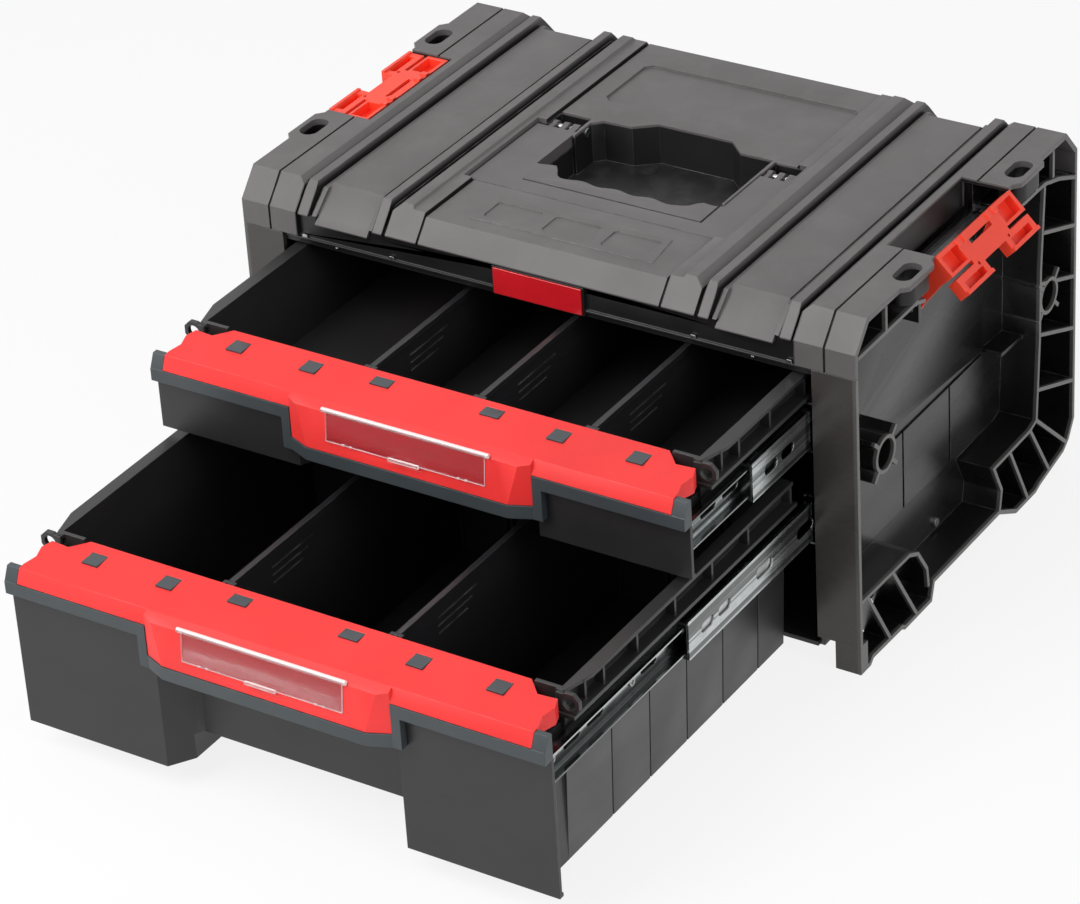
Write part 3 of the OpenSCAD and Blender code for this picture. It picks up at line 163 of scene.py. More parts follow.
class Graph(Nodes):
    """The node tree of one new material."""

    def __init__(self, name: str) -> None:
        """Makes an empty material with its output node."""
        self.material = bpy.data.materials.new(name)
        self.material.use_nodes = True
        super().__init__(self.material.node_tree)
        self.tree.nodes.clear()
        self.output = self.node("ShaderNodeOutputMaterial")
        self._place: Wire | None = None
        self._axes: list[Wire] | None = None

    def place(self) -> Wire:
        """The object coordinates, which are the frame's own."""
        if self._place is None:
            self._place = Wire(self, self.node("ShaderNodeTexCoord").outputs["Object"])
        return self._place

    def axis(self, number: int) -> Wire:
        """One of the object coordinates, X without its sign because the box is alike on both sides."""
        if self._axes is None:
            parts = self.node("ShaderNodeSeparateXYZ", None, {0: self.place()})
            self._axes = [Wire(self, part) for part in parts.outputs]
            self._axes[0] = self._axes[0].absolute()
        return self._axes[number]

    def stretched(self, scale: Vec) -> Wire:
        """The object coordinates, scaled along each axis."""
        made = self.node("ShaderNodeMapping", None, {"Vector": self.place(), "Scale": scale})
        return Wire(self, made.outputs[0])

    def noise(
        self, scale: float, detail: float = 3.0, roughness: float = 0.55, where: Wire | None = None
    ) -> Wire:
        """A noise value.

        Args:
            scale: Cells to the metre.
            detail: Octaves.
            roughness: Weight of the finer octaves.
            where: Coordinates, the object's own if left out.

        Returns:
            A value round 0.5.
        """
        made = self.node(
            "ShaderNodeTexNoise",
            {"noise_dimensions": "3D"},
            {"Vector": where or self.place(), "Scale": scale, "Detail": detail, "Roughness": roughness},
        )
        return Wire(self, made.outputs[0])

    def mix(self, factor: Any, first: Any, second: Any) -> Wire:
        """A colour between two colours."""
        made = self.node("ShaderNodeMix", {"data_type": "RGBA"}, {0: factor, 6: first, 7: second})
        return Wire(self, made.outputs[2])

    def normal_axis(self, axis: int) -> Wire:
        """One part of the surface's own normal, in the frame's axes."""
        geometry = self.node("ShaderNodeNewGeometry")
        parts = self.node("ShaderNodeSeparateXYZ", None, {0: Wire(self, geometry.outputs["Normal"])})
        return Wire(self, parts.outputs[axis])

    def bump(self, height: Wire, distance: float, strength: float = 1.0, under: Wire | None = None) -> Wire:
        """A normal shaken by a height.

        Args:
            height: The height, 0 to 1.
            distance: Depth in metres of a height of 1.
            strength: Share of the effect.
            under: A normal that this one builds on.

        Returns:
            The normal.
        """
        values: dict[Any, Any] = {"Height": height, "Distance": distance, "Strength": strength}
        if under is not None:
            values["Normal"] = under
        return Wire(self, self.node("ShaderNodeBump", None, values).outputs[0])

    def round_edges(self, radius: float) -> Wire:
        """A normal that rounds sharp edges to a radius in metres."""
        made = self.node("ShaderNodeBevel", {"samples": 6}, {"Radius": radius})
        return Wire(self, made.outputs[0])

    def blend(self, factor: Any, first: Any, second: Any) -> Any:
        """A shader between two shaders."""
        shaders = {1: Wire(self, first.outputs[0]), 2: Wire(self, second.outputs[0])}
        return self.node("ShaderNodeMixShader", None, {0: factor, **shaders})

    def surface(self, shader: Any) -> bpy.types.Material:
        """Plugs a shader into the output and returns the material."""
        self.tree.links.new(shader.outputs[0], self.output.inputs["Surface"])
        return self.material


def rgba(color: Vec, share: float = 1.0) -> tuple[float, float, float, float]:
    """A colour times a share, with full alpha."""
    return (*(share * c for c in color), 1.0)


# ---------------------------------------------------------------- finishes


class Grain(Enum):
    """How a moulding's skin was textured in the mould: cells to the metre and depth."""

    FINE = (2600.0, 0.035 * MM)
    SATIN = (3400.0, 0.018 * MM)
    SMOOTH = (900.0, 0.006 * MM)


@dataclass(frozen=True)
class Zone:
    """A box in the frame, alike on both sides, where a moulding has another colour."""

    color: Vec
    x: tuple[float, float] | None = None
    y: tuple[float, float] | None = None
    z: tuple[float, float] | None = None
    soft: float = 0.3 * MM

    def over(self, g: Graph, body: Wire) -> Wire:
        """Lays the zone's colour over a body colour.

        Args:
            g: The material's graph.
            body: The colour so far.

        Returns:
            The new colour.
        """
        mask: Any = 1.0
        for number, span in enumerate((self.x, self.y, self.z)):
            if span is not None:
                mask = g.axis(number).within(span[0], span[1], self.soft) * mask
        return g.mix(mask, body, rgba(self.color))


@dataclass(frozen=True)
class Moulding:
    """Moulded plastic with a textured skin, slight flow marks, edges painted lighter as wear from rubbing and
    as painted highlight, and upward faces painted lighter as a dusty film and as painted top light.
    """

    name: str
    color: Vec
    worn_and_lit: Vec
    roughness: float = 0.5
    grain: Grain = Grain.FINE
    specular: float = 0.5
    edge: float = 0.6 * MM
    coat: float = 0.0
    dust_and_top_light: float = 0.0
    rubbed_and_highlight: float = 0.55
    zones: tuple[Zone, ...] = ()

    def build(self) -> bpy.types.Material:
        """Builds the material."""
        g = Graph(self.name)
        scale, depth = self.grain.value
        clouds = g.noise(7.0, 3.0)
        streaks = g.noise(26.0, 2.0, where=g.stretched((1.0, 0.35, 1.6)))
        skin = g.noise(scale, 2.0, 0.5)
        rounded = g.round_edges(self.edge)
        geometry = g.node("ShaderNodeNewGeometry")
        facing = g.node(
            "ShaderNodeVectorMath",
            {"operation": "DOT_PRODUCT"},
            {0: rounded, 1: Wire(g, geometry.outputs["Normal"])},
        )
        rim = Wire(g, facing.outputs["Value"]).step(0.995, 0.90)
        # Edges painted lighter: partly wear from rubbing, partly painted highlight where the rims catch the
        # light
        rub_and_highlight = rim * g.noise(90.0, 3.0).step(0.38, 0.66) * self.rubbed_and_highlight
        smudges = g.noise(24.0, 4.0, 0.6).step(0.42, 0.62, 0.0, 0.45)
        body = g.mix(clouds.step(0.3, 0.7), rgba(self.color, 0.88), rgba(self.color, 1.12))
        body = g.mix(smudges, body, rgba(self.color, 0.82))
        body = g.mix(skin.step(0.35, 0.75, 0.0, 0.25), body, rgba(self.color, 1.35))
        for zone in self.zones:
            body = zone.over(g, body)
        # Upward faces painted lighter in patches: partly a dusty film, partly painted top light
        if self.dust_and_top_light > 0:
            patches = g.noise(38.0, 5.0, 0.65).step(0.45, 0.75, 0.0, self.dust_and_top_light)
            body = g.mix(g.normal_axis(2).step(0.6, 1.0) * patches, body, rgba(self.worn_and_lit))
        body = g.mix(rub_and_highlight, body, rgba(self.worn_and_lit))
        rough = streaks.step(0.3, 0.7, self.roughness - 0.04, self.roughness + 0.05) + skin * 0.06 - 0.03
        shader = g.node(
            "ShaderNodeBsdfPrincipled",
            None,
            {
                "Base Color": body,
                "Roughness": rough,
                "Specular IOR Level": self.specular,
                "Coat Weight": self.coat,
                "Normal": g.bump(skin, depth, 0.9, rounded),
            },
        )
        return g.surface(shader)


@dataclass(frozen=True)
class RolledSteel:
    """Bright zinc-plated steel, drawn along the runners, with a little grease, fine scratches and dark
    stripes along the runners that are painted reflections.
    """

    name: str
    color: Vec
    roughness: float = 0.24
    edge: float = 0.4 * MM
    reflection_bands: float = 0.75

    def build(self) -> bpy.types.Material:
        """Builds the material."""
        g = Graph(self.name)
        drawn = g.noise(900.0, 3.0, 0.6, g.stretched((1.0, 0.02, 1.0)))
        spangle = g.noise(160.0, 4.0, 0.6)
        grease = g.noise(32.0, 4.0, 0.6).step(0.52, 0.72)
        # Painted reflection: dark stripes along the runners, standing in for what the roll-formed profiles
        # reflect
        reflection_stripes = g.noise(300.0, 2.0, 0.6, g.stretched((1.0, 0.004, 1.0)))
        body = g.mix(spangle.step(0.35, 0.7), rgba(self.color, 0.84), rgba(self.color))
        body = g.mix(reflection_stripes.step(0.45, 0.55, 0.0, self.reflection_bands), body, rgba(self.color, 0.16))
        body = g.mix(grease * 0.35, body, rgba(self.color, 0.45))
        rough = drawn.step(0.3, 0.75, self.roughness - 0.08, self.roughness + 0.1) + grease * 0.12
        height = drawn * 0.7 + spangle * 0.3
        shader = g.node(
            "ShaderNodeBsdfPrincipled",
            None,
            {
                "Base Color": body,
                "Metallic": 1.0,
                "Roughness": rough,
                "Normal": g.bump(height, 0.02 * MM, 0.8, g.round_edges(self.edge)),
            },
        )
        return g.surface(shader)


@dataclass(frozen=True)
class ClearSheet:
    """Clear polycarbonate with a few hairline scratches and frosted moulded edges."""

    name: str
    color: Vec
    frost: Vec = (0.90, 0.86, 0.86)
    gloss: float = 0.34

    def build(self) -> bpy.types.Material:
        """Builds the material."""
        g = Graph(self.name)
        scratches = g.noise(420.0, 4.0, 0.7, g.stretched((0.08, 1.0, 1.0)))
        glass = g.node(
            "ShaderNodeBsdfPrincipled",
            None,
            {
                "Base Color": rgba(self.color),
                "Roughness": scratches.step(0.5, 0.8, 0.03, 0.14),
                "Transmission Weight": 1.0,
                "IOR": 1.5,
                "Normal": g.bump(scratches, 0.01 * MM, 0.6),
            },
        )
        clear = g.node("ShaderNodeBsdfTransparent", None, {"Color": rgba(self.color)})
        sheet = g.blend(self.gloss, clear, glass)
        rough = {"Base Color": rgba(self.frost), "Roughness": 0.35}
        frosted = g.node("ShaderNodeBsdfPrincipled", None, rough)
        edges = g.normal_axis(1).absolute().step(0.96, 0.80, 0.0, 0.8)
        return g.surface(g.blend(edges, sheet, frosted))


# Places that lie so deep between the walls that hardly any light reaches them
DEEP = (0.007, 0.007, 0.0075)
BELOW_RIDGES = (180 * MM, 246.4 * MM)
GROOVES = (
    Zone(DEEP, (88.3 * MM, 90.3 * MM), z=(180 * MM, 245.2 * MM)),
    Zone(DEEP, (113.3 * MM, 116.5 * MM), z=BELOW_RIDGES),
    Zone(DEEP, (123.0 * MM, 125.1 * MM), z=BELOW_RIDGES),
    Zone(DEEP, (171.3 * MM, 173.5 * MM), z=BELOW_RIDGES),
    Zone(DEEP, (180.5 * MM, 183.2 * MM), z=BELOW_RIDGES),
    Zone(DEEP, (202.7 * MM, 204.3 * MM)),
)
WELL = Zone(DEEP, (-1 * MM, 97 * MM), (-83 * MM, 40 * MM), (180 * MM, 241.6 * MM))
NOTCH = Zone(DEEP, (190 * MM, 226 * MM), (-48.6 * MM, 52.6 * MM), (200 * MM, 246.4 * MM))
COLLARS = Zone(DEEP, (209 * MM, 260 * MM), (-98 * MM, 102 * MM), (225 * MM, 243.6 * MM))
LEDGE = Zone((0.060, 0.078, 0.086), (190 * MM, 201 * MM), (-50 * MM, 54 * MM), (215 * MM, 223 * MM))
# Painted light and reflection: the frame's front posts painted lighter than the rest of the frame
LIT_POSTS = Zone((0.046, 0.041, 0.039), y=(-200 * MM, -145.6 * MM))
# Painted highlight: a lighter colour along the frame's outer rims
RIM_HIGHLIGHTS = Zone((0.085, 0.082, 0.080), (222.6 * MM, 300 * MM))
# Painted shade: a darker red in the recesses behind the label windows, on the upper and on the lower rail
SHADED_RECESS_RED = (0.42, 0.008, 0.016)
SHADED_POCKETS = tuple(
    Zone(SHADED_RECESS_RED, (-1 * MM, 57.8 * MM), z=(low * MM, (low + 19) * MM)) for low in (176, 110)
)

BLACK_CASE = Moulding(
    "black_case",
    (0.112, 0.104, 0.105),
    (0.32, 0.31, 0.31),
    0.44,
    specular=0.35,
    dust_and_top_light=0.10,
    zones=(*GROOVES, WELL, NOTCH, COLLARS),
)
BLACK_HANDLE = Moulding(
    "black_handle", (0.108, 0.101, 0.102), (0.32, 0.31, 0.31), 0.42, specular=0.35, dust_and_top_light=0.05
)
BLACK_FRAME = Moulding(
    "black_frame",
    (0.006, 0.0058, 0.006),
    (0.17, 0.165, 0.160),
    0.27,
    specular=0.5,
    rubbed_and_highlight=0.8,
    zones=(LIT_POSTS, RIM_HIGHLIGHTS, NOTCH, LEDGE),
)
BLACK_FASCIA = Moulding("black_fascia", (0.010, 0.0097, 0.010), (0.10, 0.095, 0.092), 0.34, specular=0.45)
BLACK_INSIDE = Moulding("black_inside", (0.009, 0.009, 0.0095), (0.06, 0.058, 0.058), 0.5)
BLACK_TRAY = Moulding("black_tray", (0.018, 0.0172, 0.018), (0.11, 0.105, 0.105), 0.40, Grain.SATIN)
BLACK_DIVIDER = Moulding(
    "black_divider", (0.013, 0.013, 0.0145), (0.20, 0.195, 0.195), 0.38, Grain.SATIN, rubbed_and_highlight=0.8
)
SLATE = Moulding("slate", (0.040, 0.050, 0.056), (0.14, 0.16, 0.17), 0.42, Grain.SATIN)
RED_RAIL = Moulding("red_rail", (0.830, 0.032, 0.030), (0.94, 0.26, 0.24), 0.45, specular=0.4, zones=SHADED_POCKETS)
ORANGE_LATCH = Moulding("orange_latch", (0.950, 0.060, 0.026), (0.98, 0.28, 0.20), 0.38, Grain.SATIN)
RED_PLATE = Moulding("red_plate", (0.620, 0.012, 0.020), (0.80, 0.12, 0.12), 0.22, Grain.SMOOTH, coat=0.6)
BUMPER = Moulding("bumper", (0.016, 0.016, 0.016), (0.06, 0.06, 0.06), 0.5, Grain.SATIN)
BRIGHT_STEEL = RolledSteel("bright_steel", (0.58, 0.61, 0.61), 0.2, reflection_bands=0.88)
CAGE_STEEL = RolledSteel("cage_steel", (0.58, 0.58, 0.58), 0.30, reflection_bands=0.3)
BALL_STEEL = RolledSteel("ball_steel", (0.80, 0.80, 0.80), 0.16, 0.05 * MM, 0.0)
SCREW_STEEL = RolledSteel("screw_steel", (0.58, 0.58, 0.58), 0.3, reflection_bands=0.2)
PIN_STEEL = RolledSteel("pin_steel", (0.50, 0.50, 0.51), 0.3, reflection_bands=0.2)
CLEAR_WINDOW = ClearSheet("clear_window", (0.97, 0.93, 0.93))


class Paint:
    """Keeps one material for each finish."""

    def __init__(self) -> None:
        """Starts with no material."""
        self._made: dict[str, bpy.types.Material] = {}

    def __call__(self, finish: Any) -> bpy.types.Material:
        """The material of a finish, built the first time."""
        if finish.name not in self._made:
            self._made[finish.name] = finish.build()
        return self._made[finish.name]


# ---------------------------------------------------------------- what repeats


@dataclass(frozen=True)
class Line:
    """A line of places: the first, the way to the next, and how many."""

    start: Vec
    step: Vec
    count: int


class Growth(Nodes):
    """A Geometry Nodes tree with named inputs, run once to give a plain mesh."""

    KINDS = {int: "NodeSocketInt", float: "NodeSocketFloat", tuple: "NodeSocketVector"}

    def __init__(self, name: str) -> None:
        """Makes a tree that has only its output."""
        super().__init__(bpy.data.node_groups.new(name, "GeometryNodeTree"))
        self.tree.interface.new_socket("Geometry", in_out="OUTPUT", socket_type="NodeSocketGeometry")
        self.entry = self.node("NodeGroupInput")
        self._values: dict[str, Any] = {}

    def size(self, name: str, value: Any) -> Wire:
        """A named input, and the value that this piece gives it."""
        made = self.tree.interface.new_socket(name, in_out="INPUT", socket_type=self.KINDS[type(value)])
        self._values[made.identifier] = value
        return Wire(self, self.entry.outputs[name])

    def grow(self, kind: str, settings: Settings = None, values: Values = None) -> Wire:
        """Adds a node and gives its first output."""
        return Wire(self, self.node(kind, settings, values).outputs[0])

    def along(self, lines: Sequence[Line], shape: Wire) -> Wire:
        """Sets a shape at every place of some lines.

        Args:
            lines: The lines of places.
            shape: The geometry that is repeated.

        Returns:
            The instances.
        """
        places = []
        for number, line in enumerate(lines, 1):
            values = {
                "Count": self.size(f"Count {number}", line.count),
                "Start Location": self.size(f"Start {number}", line.start),
                "Offset": self.size(f"Step {number}", line.step),
            }
            places.append(self.grow("GeometryNodeMeshLine", {"mode": "OFFSET"}, values))
        points = self.grow("GeometryNodeJoinGeometry", None, {"Geometry": places})
        return self.grow("GeometryNodeInstanceOnPoints", None, {"Points": points, "Instance": shape})

    def mesh(self, grown: Wire, material: bpy.types.Material) -> bpy.types.Mesh:
        """Runs the tree.

        Args:
            grown: The geometry to keep.
            material: The material that it is set to.

        Returns:
            A plain mesh.
        """
        real = self.grow("GeometryNodeRealizeInstances", None, {0: grown})
        done = self.grow("GeometryNodeSetMaterial", None, {"Geometry": real, "Material": material})
        self.node("NodeGroupOutput", None, {0: done})
        host = bpy.data.objects.new(self.tree.name, bpy.data.meshes.new(self.tree.name))
        modifier = host.modifiers.new("grow", "NODES")
        modifier.node_group = self.tree
        for identifier, value in self._values.items():
            modifier[identifier] = value
        bpy.context.scene.collection.objects.link(host)
        mesh = settled(host)
        host.modifiers.clear()
        bpy.data.objects.remove(host)
        return mesh


@dataclass(frozen=True)
class Balls:
    """Steel balls in lines."""

    name: str
    diameter: float
    lines: tuple[Line, ...]

    def mesh(self, material: bpy.types.Material) -> bpy.types.Mesh:
        """Grows the balls."""
        g = Growth(self.name)
        sizes = {"Radius": g.size("Radius", self.diameter / 2), "Subdivisions": 2}
        ball = g.grow("GeometryNodeMeshIcoSphere", None, sizes)
        smooth = g.grow("GeometryNodeSetShadeSmooth", None, {"Geometry": ball})
        return g.mesh(g.along(self.lines, smooth), material)


@dataclass(frozen=True)
class Tabs:
    """Small moulded or pressed tabs with round corners and a drafted top, in lines."""

    name: str
    width: float
    length: float
    height: float
    lines: tuple[Line, ...]
    corner: float = 0.4 * MM
    draft: float = 0.82
    turn: Vec = (0.0, 0.0, 0.0)
    weld: float = 0.001 * MM

    def mesh(self, material: bpy.types.Material) -> bpy.types.Mesh:
        """Grows the tabs."""
        g = Growth(self.name)
        sides = {"Width": g.size("Width", self.width), "Height": g.size("Length", self.length)}
        outline = g.grow("GeometryNodeCurvePrimitiveQuadrilateral", {"mode": "RECTANGLE"}, sides)
        bend = {"Curve": outline, "Count": 4, "Radius": g.size("Corner", self.corner), "Limit Radius": True}
        rounded = g.grow("GeometryNodeFilletCurve", {"mode": "POLY"}, bend)
        face = g.grow("GeometryNodeFillCurve", {"mode": "NGONS"}, {"Curve": rounded})
        raised = g.node(
            "GeometryNodeExtrudeMesh",
            {"mode": "FACES"},
            {"Mesh": face, "Offset Scale": g.size("Height", self.height), "Individual": False},
        )
        top = {
            "Geometry": Wire(g, raised.outputs["Mesh"]),
            "Selection": Wire(g, raised.outputs["Top"]),
            "Scale": g.size("Draft", self.draft),
        }
        drafted = g.grow("GeometryNodeScaleElements", {"domain": "FACE"}, top)
        under = g.grow("GeometryNodeFlipFaces", None, {"Mesh": face})
        joined = g.grow("GeometryNodeJoinGeometry", None, {"Geometry": [drafted, under]})
        seams = {"Geometry": joined, "Distance": self.weld}
        closed = g.grow("GeometryNodeMergeByDistance", None, seams)
        place = {"Geometry": closed, "Rotation": g.size("Turn", self.turn)}
        turned = g.grow("GeometryNodeTransform", None, place)
        return g.mesh(g.along(self.lines, turned), material)


# ---------------------------------------------------------------- meshes


def settled(host: bpy.types.Object) -> bpy.types.Mesh:
    """A plain mesh of an object with its modifiers applied."""
    graph = bpy.context.evaluated_depsgraph_get()
    return bpy.data.meshes.new_from_object(
        host.evaluated_get(graph), preserve_all_data_layers=True, depsgraph=graph
    )


class Bench:
    """Makes pieces and hands them to the frame."""

    WELD = 0.004 * MM
    FLAT = math.radians(0.4)

    def __init__(self, nodes: dict[str, bpy.types.Object], paint: Paint) -> None:
        """Keeps the frame's nodes and the paint."""
        self.nodes = nodes
        self.paint = paint

    def _own(self, piece: bpy.types.Object, finish: Any, body: str) -> bpy.types.Object:
        """Gives a piece its material and its body."""
        piece.data.materials.clear()
        piece.data.materials.append(self.paint(finish))
        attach(piece, body)
        log.info("%s: %d faces on %s", piece.name, len(piece.data.polygons), body)
        return piece

    def add(self, name: str, mesh: bpy.types.Mesh, finish: Any, body: str) -> bpy.types.Object:
        """Adds a new piece.

        Args:
            name: The piece's name.
            mesh: Its mesh, in place.
            finish: What it is finished in.
            body: The body that it rides on.

        Returns:
            The piece.
        """
        piece = bpy.data.objects.new(name, mesh)
        bpy.context.scene.collection.objects.link(piece)
        return self._own(piece, finish, body)

    def repeat(self, what: "Balls | Tabs", finish: Any, body: str) -> bpy.types.Object:
        """Adds a piece that Geometry Nodes grew."""
        return self.add(what.name, what.mesh(self.paint(finish)), finish, body)

    def keep(self, node: str, finish: Any) -> None:
        """Gives a node of the frame a better material."""
        materials = self.nodes[node].data.materials
        if not materials:
            materials.append(self.paint(finish))
        for index in range(len(materials)):
            materials[index] = self.paint(finish)

    def dress(
        self, node: str, finish: Any, radius: float, segments: int = 2, angle: float = 33.0
    ) -> bpy.types.Object:
        """Stands a copy with rounded edges in for a node.

        Args:
            node: The node that the piece replaces.
            finish: What it is finished in.
            radius: Width of the rounded edges.
            segments: Faces across each rounded edge.
            angle: Least angle in degrees of an edge that is rounded.

        Returns:
            The piece.
        """
        source = self.nodes[node]
        shape = bmesh.new()
        shape.from_mesh(source.data)
        bmesh.ops.remove_doubles(shape, verts=shape.verts, dist=self.WELD)
        bmesh.ops.dissolve_limit(
            shape,
            angle_limit=self.FLAT,
            verts=shape.verts,
            edges=shape.edges,
            use_dissolve_boundaries=False,
        )
        mesh = bpy.data.meshes.new(node + "_shape")
        shape.to_mesh(mesh)
        shape.free()
        mesh.shade_smooth()
        mesh.set_sharp_from_angle(angle=math.radians(angle))
        piece = bpy.data.objects.new(node + "_piece", mesh)
        bpy.context.scene.collection.objects.link(piece)
        bevel = piece.modifiers.new("edges", "BEVEL")
        bevel.width = radius
        bevel.segments = segments
        bevel.limit_method = "ANGLE"
        bevel.angle_limit = math.radians(angle)
        bevel.use_clamp_overlap = True
        bevel.harden_normals = True
        final = settled(piece)
        piece.modifiers.clear()
        piece.data = final
        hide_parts(node)
        return self._own(piece, finish, source["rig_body"])


# ---------------------------------------------------------------- studio


@dataclass(frozen=True)
class SoftBox:
    """One lamp: where it hangs, the point that it faces, its width and height, and its power in watts."""

    name: str
    place: Vec
    aim: Vec
    size: tuple[float, float]
    power: float

    def hang(self) -> None:
        """Adds the lamp to the scene."""
        data = bpy.data.lights.new(self.name, "AREA")
        data.shape = "RECTANGLE"
        data.size, data.size_y = self.size
        data.energy = self.power
        lamp = bpy.data.objects.new(self.name, data)
        bpy.context.scene.collection.objects.link(lamp)
        lamp.location = self.place
        lamp.rotation_euler = (Vector(self.aim) - Vector(self.place)).to_track_quat("-Z", "Y").to_euler()


SOFT_BOXES = (
    SoftBox("key", (-0.5, -1.15, 1.35), (0, -0.15, 0.15), (1.1, 1.1), 20),
    SoftBox("top", (-0.3, 0.7, 2.2), (0, -0.1, 0.1), (2.0, 1.4), 5),
    SoftBox("front_left", (-1.6, -2.0, 1.2), (0, -0.1, 0.1), (1.4, 1.2), 9),
    SoftBox("right", (2.2, -0.6, 1.2), (0, 0, 0.1), (1.0, 1.2), 16),
)


@dataclass
class Studio:
    """The pale floor, the soft light and the camera at the photograph's angle."""

    eye: Vec = (1.29655, -2.07253, 1.50831)
    azimuth: float = 34.099
    height_angle: float = 31.246
    roll: float = -3.675
    lens: float = 142.18
    sensor: float = 36.0
    surround: float = 0.36
    floor_half: float = 6.0
    floor_white: float = 0.85

    def camera(self) -> None:
        """Places the camera."""
        data = bpy.data.cameras.new("camera")
        data.lens = self.lens
        data.sensor_width = self.sensor
        data.sensor_fit = "HORIZONTAL"
        data.clip_end = 50
        eye = bpy.data.objects.new("camera", data)
        bpy.context.scene.collection.objects.link(eye)
        turn = Matrix.Rotation(math.radians(self.azimuth), 4, "Z")
        tilt = Matrix.Rotation(math.radians(90 - self.height_angle), 4, "X")
        spin = Matrix.Rotation(math.radians(self.roll), 4, "Z")
        eye.matrix_world = Matrix.Translation(self.eye) @ turn @ tilt @ spin
        bpy.context.scene.camera = eye

    @staticmethod
    def _seen(tree: bpy.types.NodeTree) -> bpy.types.NodeSocket:
        """A factor that is 1 for rays from the camera, a gloss or a clear sheet."""
        path = tree.nodes.new("ShaderNodeLightPath")
        total = path.outputs["Is Camera Ray"]
        for name in ("Is Glossy Ray", "Is Transmission Ray"):
            join = tree.nodes.new("ShaderNodeMath")
            join.operation = "MAXIMUM"
            tree.links.new(total, join.inputs[0])
            tree.links.new(path.outputs[name], join.inputs[1])
            total = join.outputs[0]
        return total

    def world(self) -> None:
        """A white surround that lights the object at a plain level."""
        world = bpy.data.worlds.new("surround")
        bpy.context.scene.world = world
        world.use_nodes = True
        tree = world.node_tree
        tree.nodes.clear()
        mixed = tree.nodes.new("ShaderNodeMixShader")
        tree.links.new(self._seen(tree), mixed.inputs[0])
        for index, strength in enumerate((self.surround, 1.0), 1):
            light = tree.nodes.new("ShaderNodeBackground")
            light.inputs[0].default_value = (1, 1, 1, 1)
            light.inputs[1].default_value = strength
            tree.links.new(light.outputs[0], mixed.inputs[index])
        out = tree.nodes.new("ShaderNodeOutputWorld")
        tree.links.new(mixed.outputs[0], out.inputs[0])

    def floor(self) -> None:
        """A pale floor that keeps the object's shadow."""
        mesh = bpy.data.meshes.new("floor")
        half = self.floor_half
        around = [(-half, -half, 0), (half, -half, 0), (half, half, 0), (-half, half, 0)]
        mesh.from_pydata(around, [], [(0, 1, 2, 3)])
        floor = bpy.data.objects.new("floor", mesh)
        bpy.context.scene.collection.objects.link(floor)
        g = Graph("pale_floor")
        matte = g.node("ShaderNodeBsdfDiffuse", None, {"Color": (0.86, 0.86, 0.86, 1)})
        glow = g.node("ShaderNodeEmission", None, {"Color": (1, 1, 1, 1), "Strength": 1.0})
        g.surface(g.blend(Wire(g, self._seen(g.tree)) * self.floor_white, matte, glow))
        mesh.materials.append(g.material)

    def build(self) -> None:
        """Builds the whole studio."""
        self.camera()
        self.world()
        for box in SOFT_BOXES:
            box.hang()
        self.floor()
        bpy.context.scene.view_settings.view_transform = "Standard"


# ---------------------------------------------------------------- sub-assemblies


@dataclass
class Case:
    """The case with its handle and latches, and the small clips and studs on the fascia."""

    cover_edge: float = 0.9 * MM
    frame_edge: float = 0.5 * MM
    plate_edge: float = 0.35 * MM
    clip_out: float = 111.1 * MM
    clip_pitch: float = 67.1 * MM
    clip_y: float = -147.2 * MM
    clip_z: float = 212.0 * MM
    stud_out: float = 153.1 * MM
    stud_y: float = -147.9 * MM
    stud_z: float = 210.4 * MM

    def build(self, bench: Bench) -> None:
        """Dresses the case's nodes."""
        bench.dress("top_cover", BLACK_CASE, self.cover_edge)
        for side in SIDES:
            bench.dress(f"side_frame_{side}", BLACK_FRAME, self.frame_edge)
            bench.keep(f"latch_pin_{side}", SCREW_STEEL)
            bench.dress(f"latch_{side}", ORANGE_LATCH, self.frame_edge)
        bench.dress("back_panel", BLACK_FRAME, self.frame_edge)
        bench.dress("front_fascia", BLACK_FASCIA, self.frame_edge)
        bench.dress("fascia_plate", RED_PLATE, self.plate_edge)
        bench.dress("carry_handle", BLACK_HANDLE, self.cover_edge)
        bench.keep("base_plate", BLACK_INSIDE)
        bench.keep("case_screws", SCREW_STEEL)
        bench.keep("handle_pins", PIN_STEEL)
        bench.keep("case_runner_screws", SCREW_STEEL)
        self.clips(bench)

    def clips(self, bench: Bench) -> None:
        """Adds the bright spring clips that stand on the fascia's ledge, and the studs between them."""
        lines = [
            Line((side * self.clip_out, self.clip_y, self.clip_z), (side * self.clip_pitch, 0.0, 0.0), 2)
            for side in (-1, 1)
        ]
        clips = Tabs("cover_clips", 4.2 * MM, 1.0 * MM, 2.2 * MM, tuple(lines), 0.4 * MM, 0.8)
        bench.repeat(clips, CAGE_STEEL, "case")
        lines = [
            Line((side * self.stud_out, self.stud_y, self.stud_z), (0.0, 0.0, 0.0), 1) for side in (-1, 1)
        ]
        studs = Tabs(
            "fascia_studs", 2.4 * MM, 1.4 * MM, 0.6 * MM, tuple(lines), 0.6 * MM, 0.7, FACING_FRONT
        )
        bench.repeat(studs, CAGE_STEEL, "case")


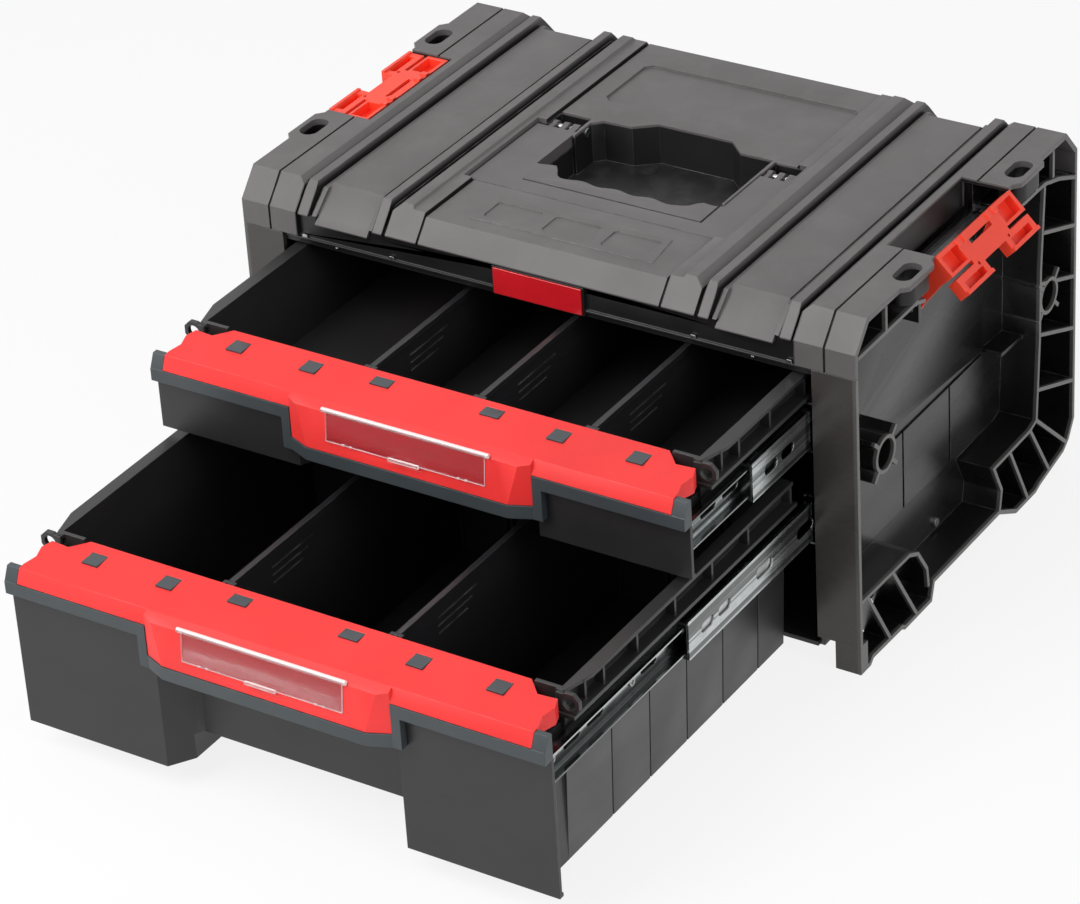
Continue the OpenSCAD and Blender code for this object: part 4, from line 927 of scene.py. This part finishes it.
@dataclass
class Drawer:
    """One drawer: tray, lip, rail, window with its teeth, dividers and screws."""

    level: str
    dividers: tuple[str, ...]
    window_half: float = 57.5 * MM
    tooth_in: float = 13.0 * MM
    tooth_pitch: float = 5.5 * MM
    tooth_back: float = 2.0 * MM
    tooth_lift: float = 1.2 * MM

    def build(self, bench: Bench) -> None:
        """Dresses the drawer's nodes."""
        bench.dress(f"{self.level}_tray", BLACK_TRAY, 0.45 * MM)
        bench.dress(f"{self.level}_lip", SLATE, 0.5 * MM)
        bench.dress(f"{self.level}_rail", RED_RAIL, 0.9 * MM)
        bench.dress(f"{self.level}_label_window", CLEAR_WINDOW, 0.2 * MM)
        for name in self.dividers:
            bench.dress(f"{self.level}_divider_{name}", BLACK_DIVIDER, 0.4 * MM)
        bench.keep(f"{self.level}_tray_screws", SCREW_STEEL)
        self.teeth(bench)

    def teeth(self, bench: Bench) -> None:
        """Adds the small snap teeth on the window's lower edge."""
        low, _ = span(bench.nodes[f"{self.level}_label_window"])
        place = (low.y + self.tooth_back, low.z + self.tooth_lift)
        lines = [
            Line((side * (self.window_half - self.tooth_in), *place), (-side * self.tooth_pitch, 0.0, 0.0), 2)
            for side in (-1, 1)
        ]
        teeth = Tabs(
            f"{self.level}_window_teeth",
            2.2 * MM,
            1.2 * MM,
            0.9 * MM,
            tuple(lines),
            0.5 * MM,
            0.7,
            FACING_FRONT,
        )
        bench.repeat(teeth, CLEAR_WINDOW, f"{self.level}_window")


@dataclass
class Runners:
    """The steel members, cages, balls and bumpers of one drawer."""

    level: str
    rim: float
    ball_pitch: float = 7.0 * MM
    outer_ball: float = 2.22 * MM
    outer_race: float = 14.9 * MM
    outer_in: float = 188.3 * MM
    inner_ball: float = 1.92 * MM
    inner_race: float = 11.05 * MM
    inner_in: float = 186.9 * MM
    below_rim: float = 35.5 * MM
    member_edge: float = 0.35 * MM
    bumper_edge: float = 0.3 * MM

    def build(self, bench: Bench) -> None:
        """Dresses the runners' nodes."""
        for side in SIDES:
            for member in ("outer", "mid", "inner"):
                bench.dress(f"{self.level}_{member}_runner_{side}", BRIGHT_STEEL, self.member_edge)
        for member in ("outer", "inner"):
            bench.keep(f"{self.level}_{member}_cages", CAGE_STEEL)
        bench.dress(f"{self.level}_bumpers", BUMPER, self.bumper_edge)
        self.balls(bench, "outer", self.outer_ball, self.outer_in, self.outer_race)
        self.balls(bench, "inner", self.inner_ball, self.inner_in, self.inner_race)

    def balls(self, bench: Bench, member: str, diameter: float, across: float, race: float) -> None:
        """Fills a cage's four rows with balls.

        Args:
            bench: Where pieces are added.
            member: Which cage, outer or inner.
            diameter: A ball's diameter.
            across: How far the rows stand from the middle of the box.
            race: How far the rows stand above and below the runner's middle.
        """
        low, high = span(bench.nodes[f"{self.level}_{member}_cages"])
        count = int((high.y - low.y) / self.ball_pitch) - 1
        middle = self.rim - self.below_rim
        step = (0.0, self.ball_pitch, 0.0)
        lines = [
            Line((side * across, low.y + self.ball_pitch, middle + part * race), step, count)
            for side in (-1, 1)
            for part in (-1, 1)
        ]
        body = f"{self.level}_{member}_balls"
        bench.repeat(Balls(f"{body}_row", diameter, tuple(lines)), BALL_STEEL, body)


def span(node: bpy.types.Object) -> tuple[Vector, Vector]:
    """A node's lowest and highest corner in the frame."""
    corners_of = [node.matrix_world @ Vector(corner) for corner in node.bound_box]
    low = Vector([min(corner[axis] for corner in corners_of) for axis in range(3)])
    high = Vector([max(corner[axis] for corner in corners_of) for axis in range(3)])
    return low, high


def main() -> None:
    """Builds the studio and each sub-assembly in order."""
    logging.basicConfig(level=logging.INFO, format="%(name)s %(message)s")
    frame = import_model()
    Studio().build()
    bench = Bench(frame["nodes"], Paint())
    Case().build(bench)
    Drawer("upper", ("left", "middle", "right")).build(bench)
    Runners("upper", UPPER_RIM).build(bench)
    Drawer("lower", ("left", "right")).build(bench)
    Runners("lower", LOWER_RIM).build(bench)


if __name__ == "__main__":
    main()
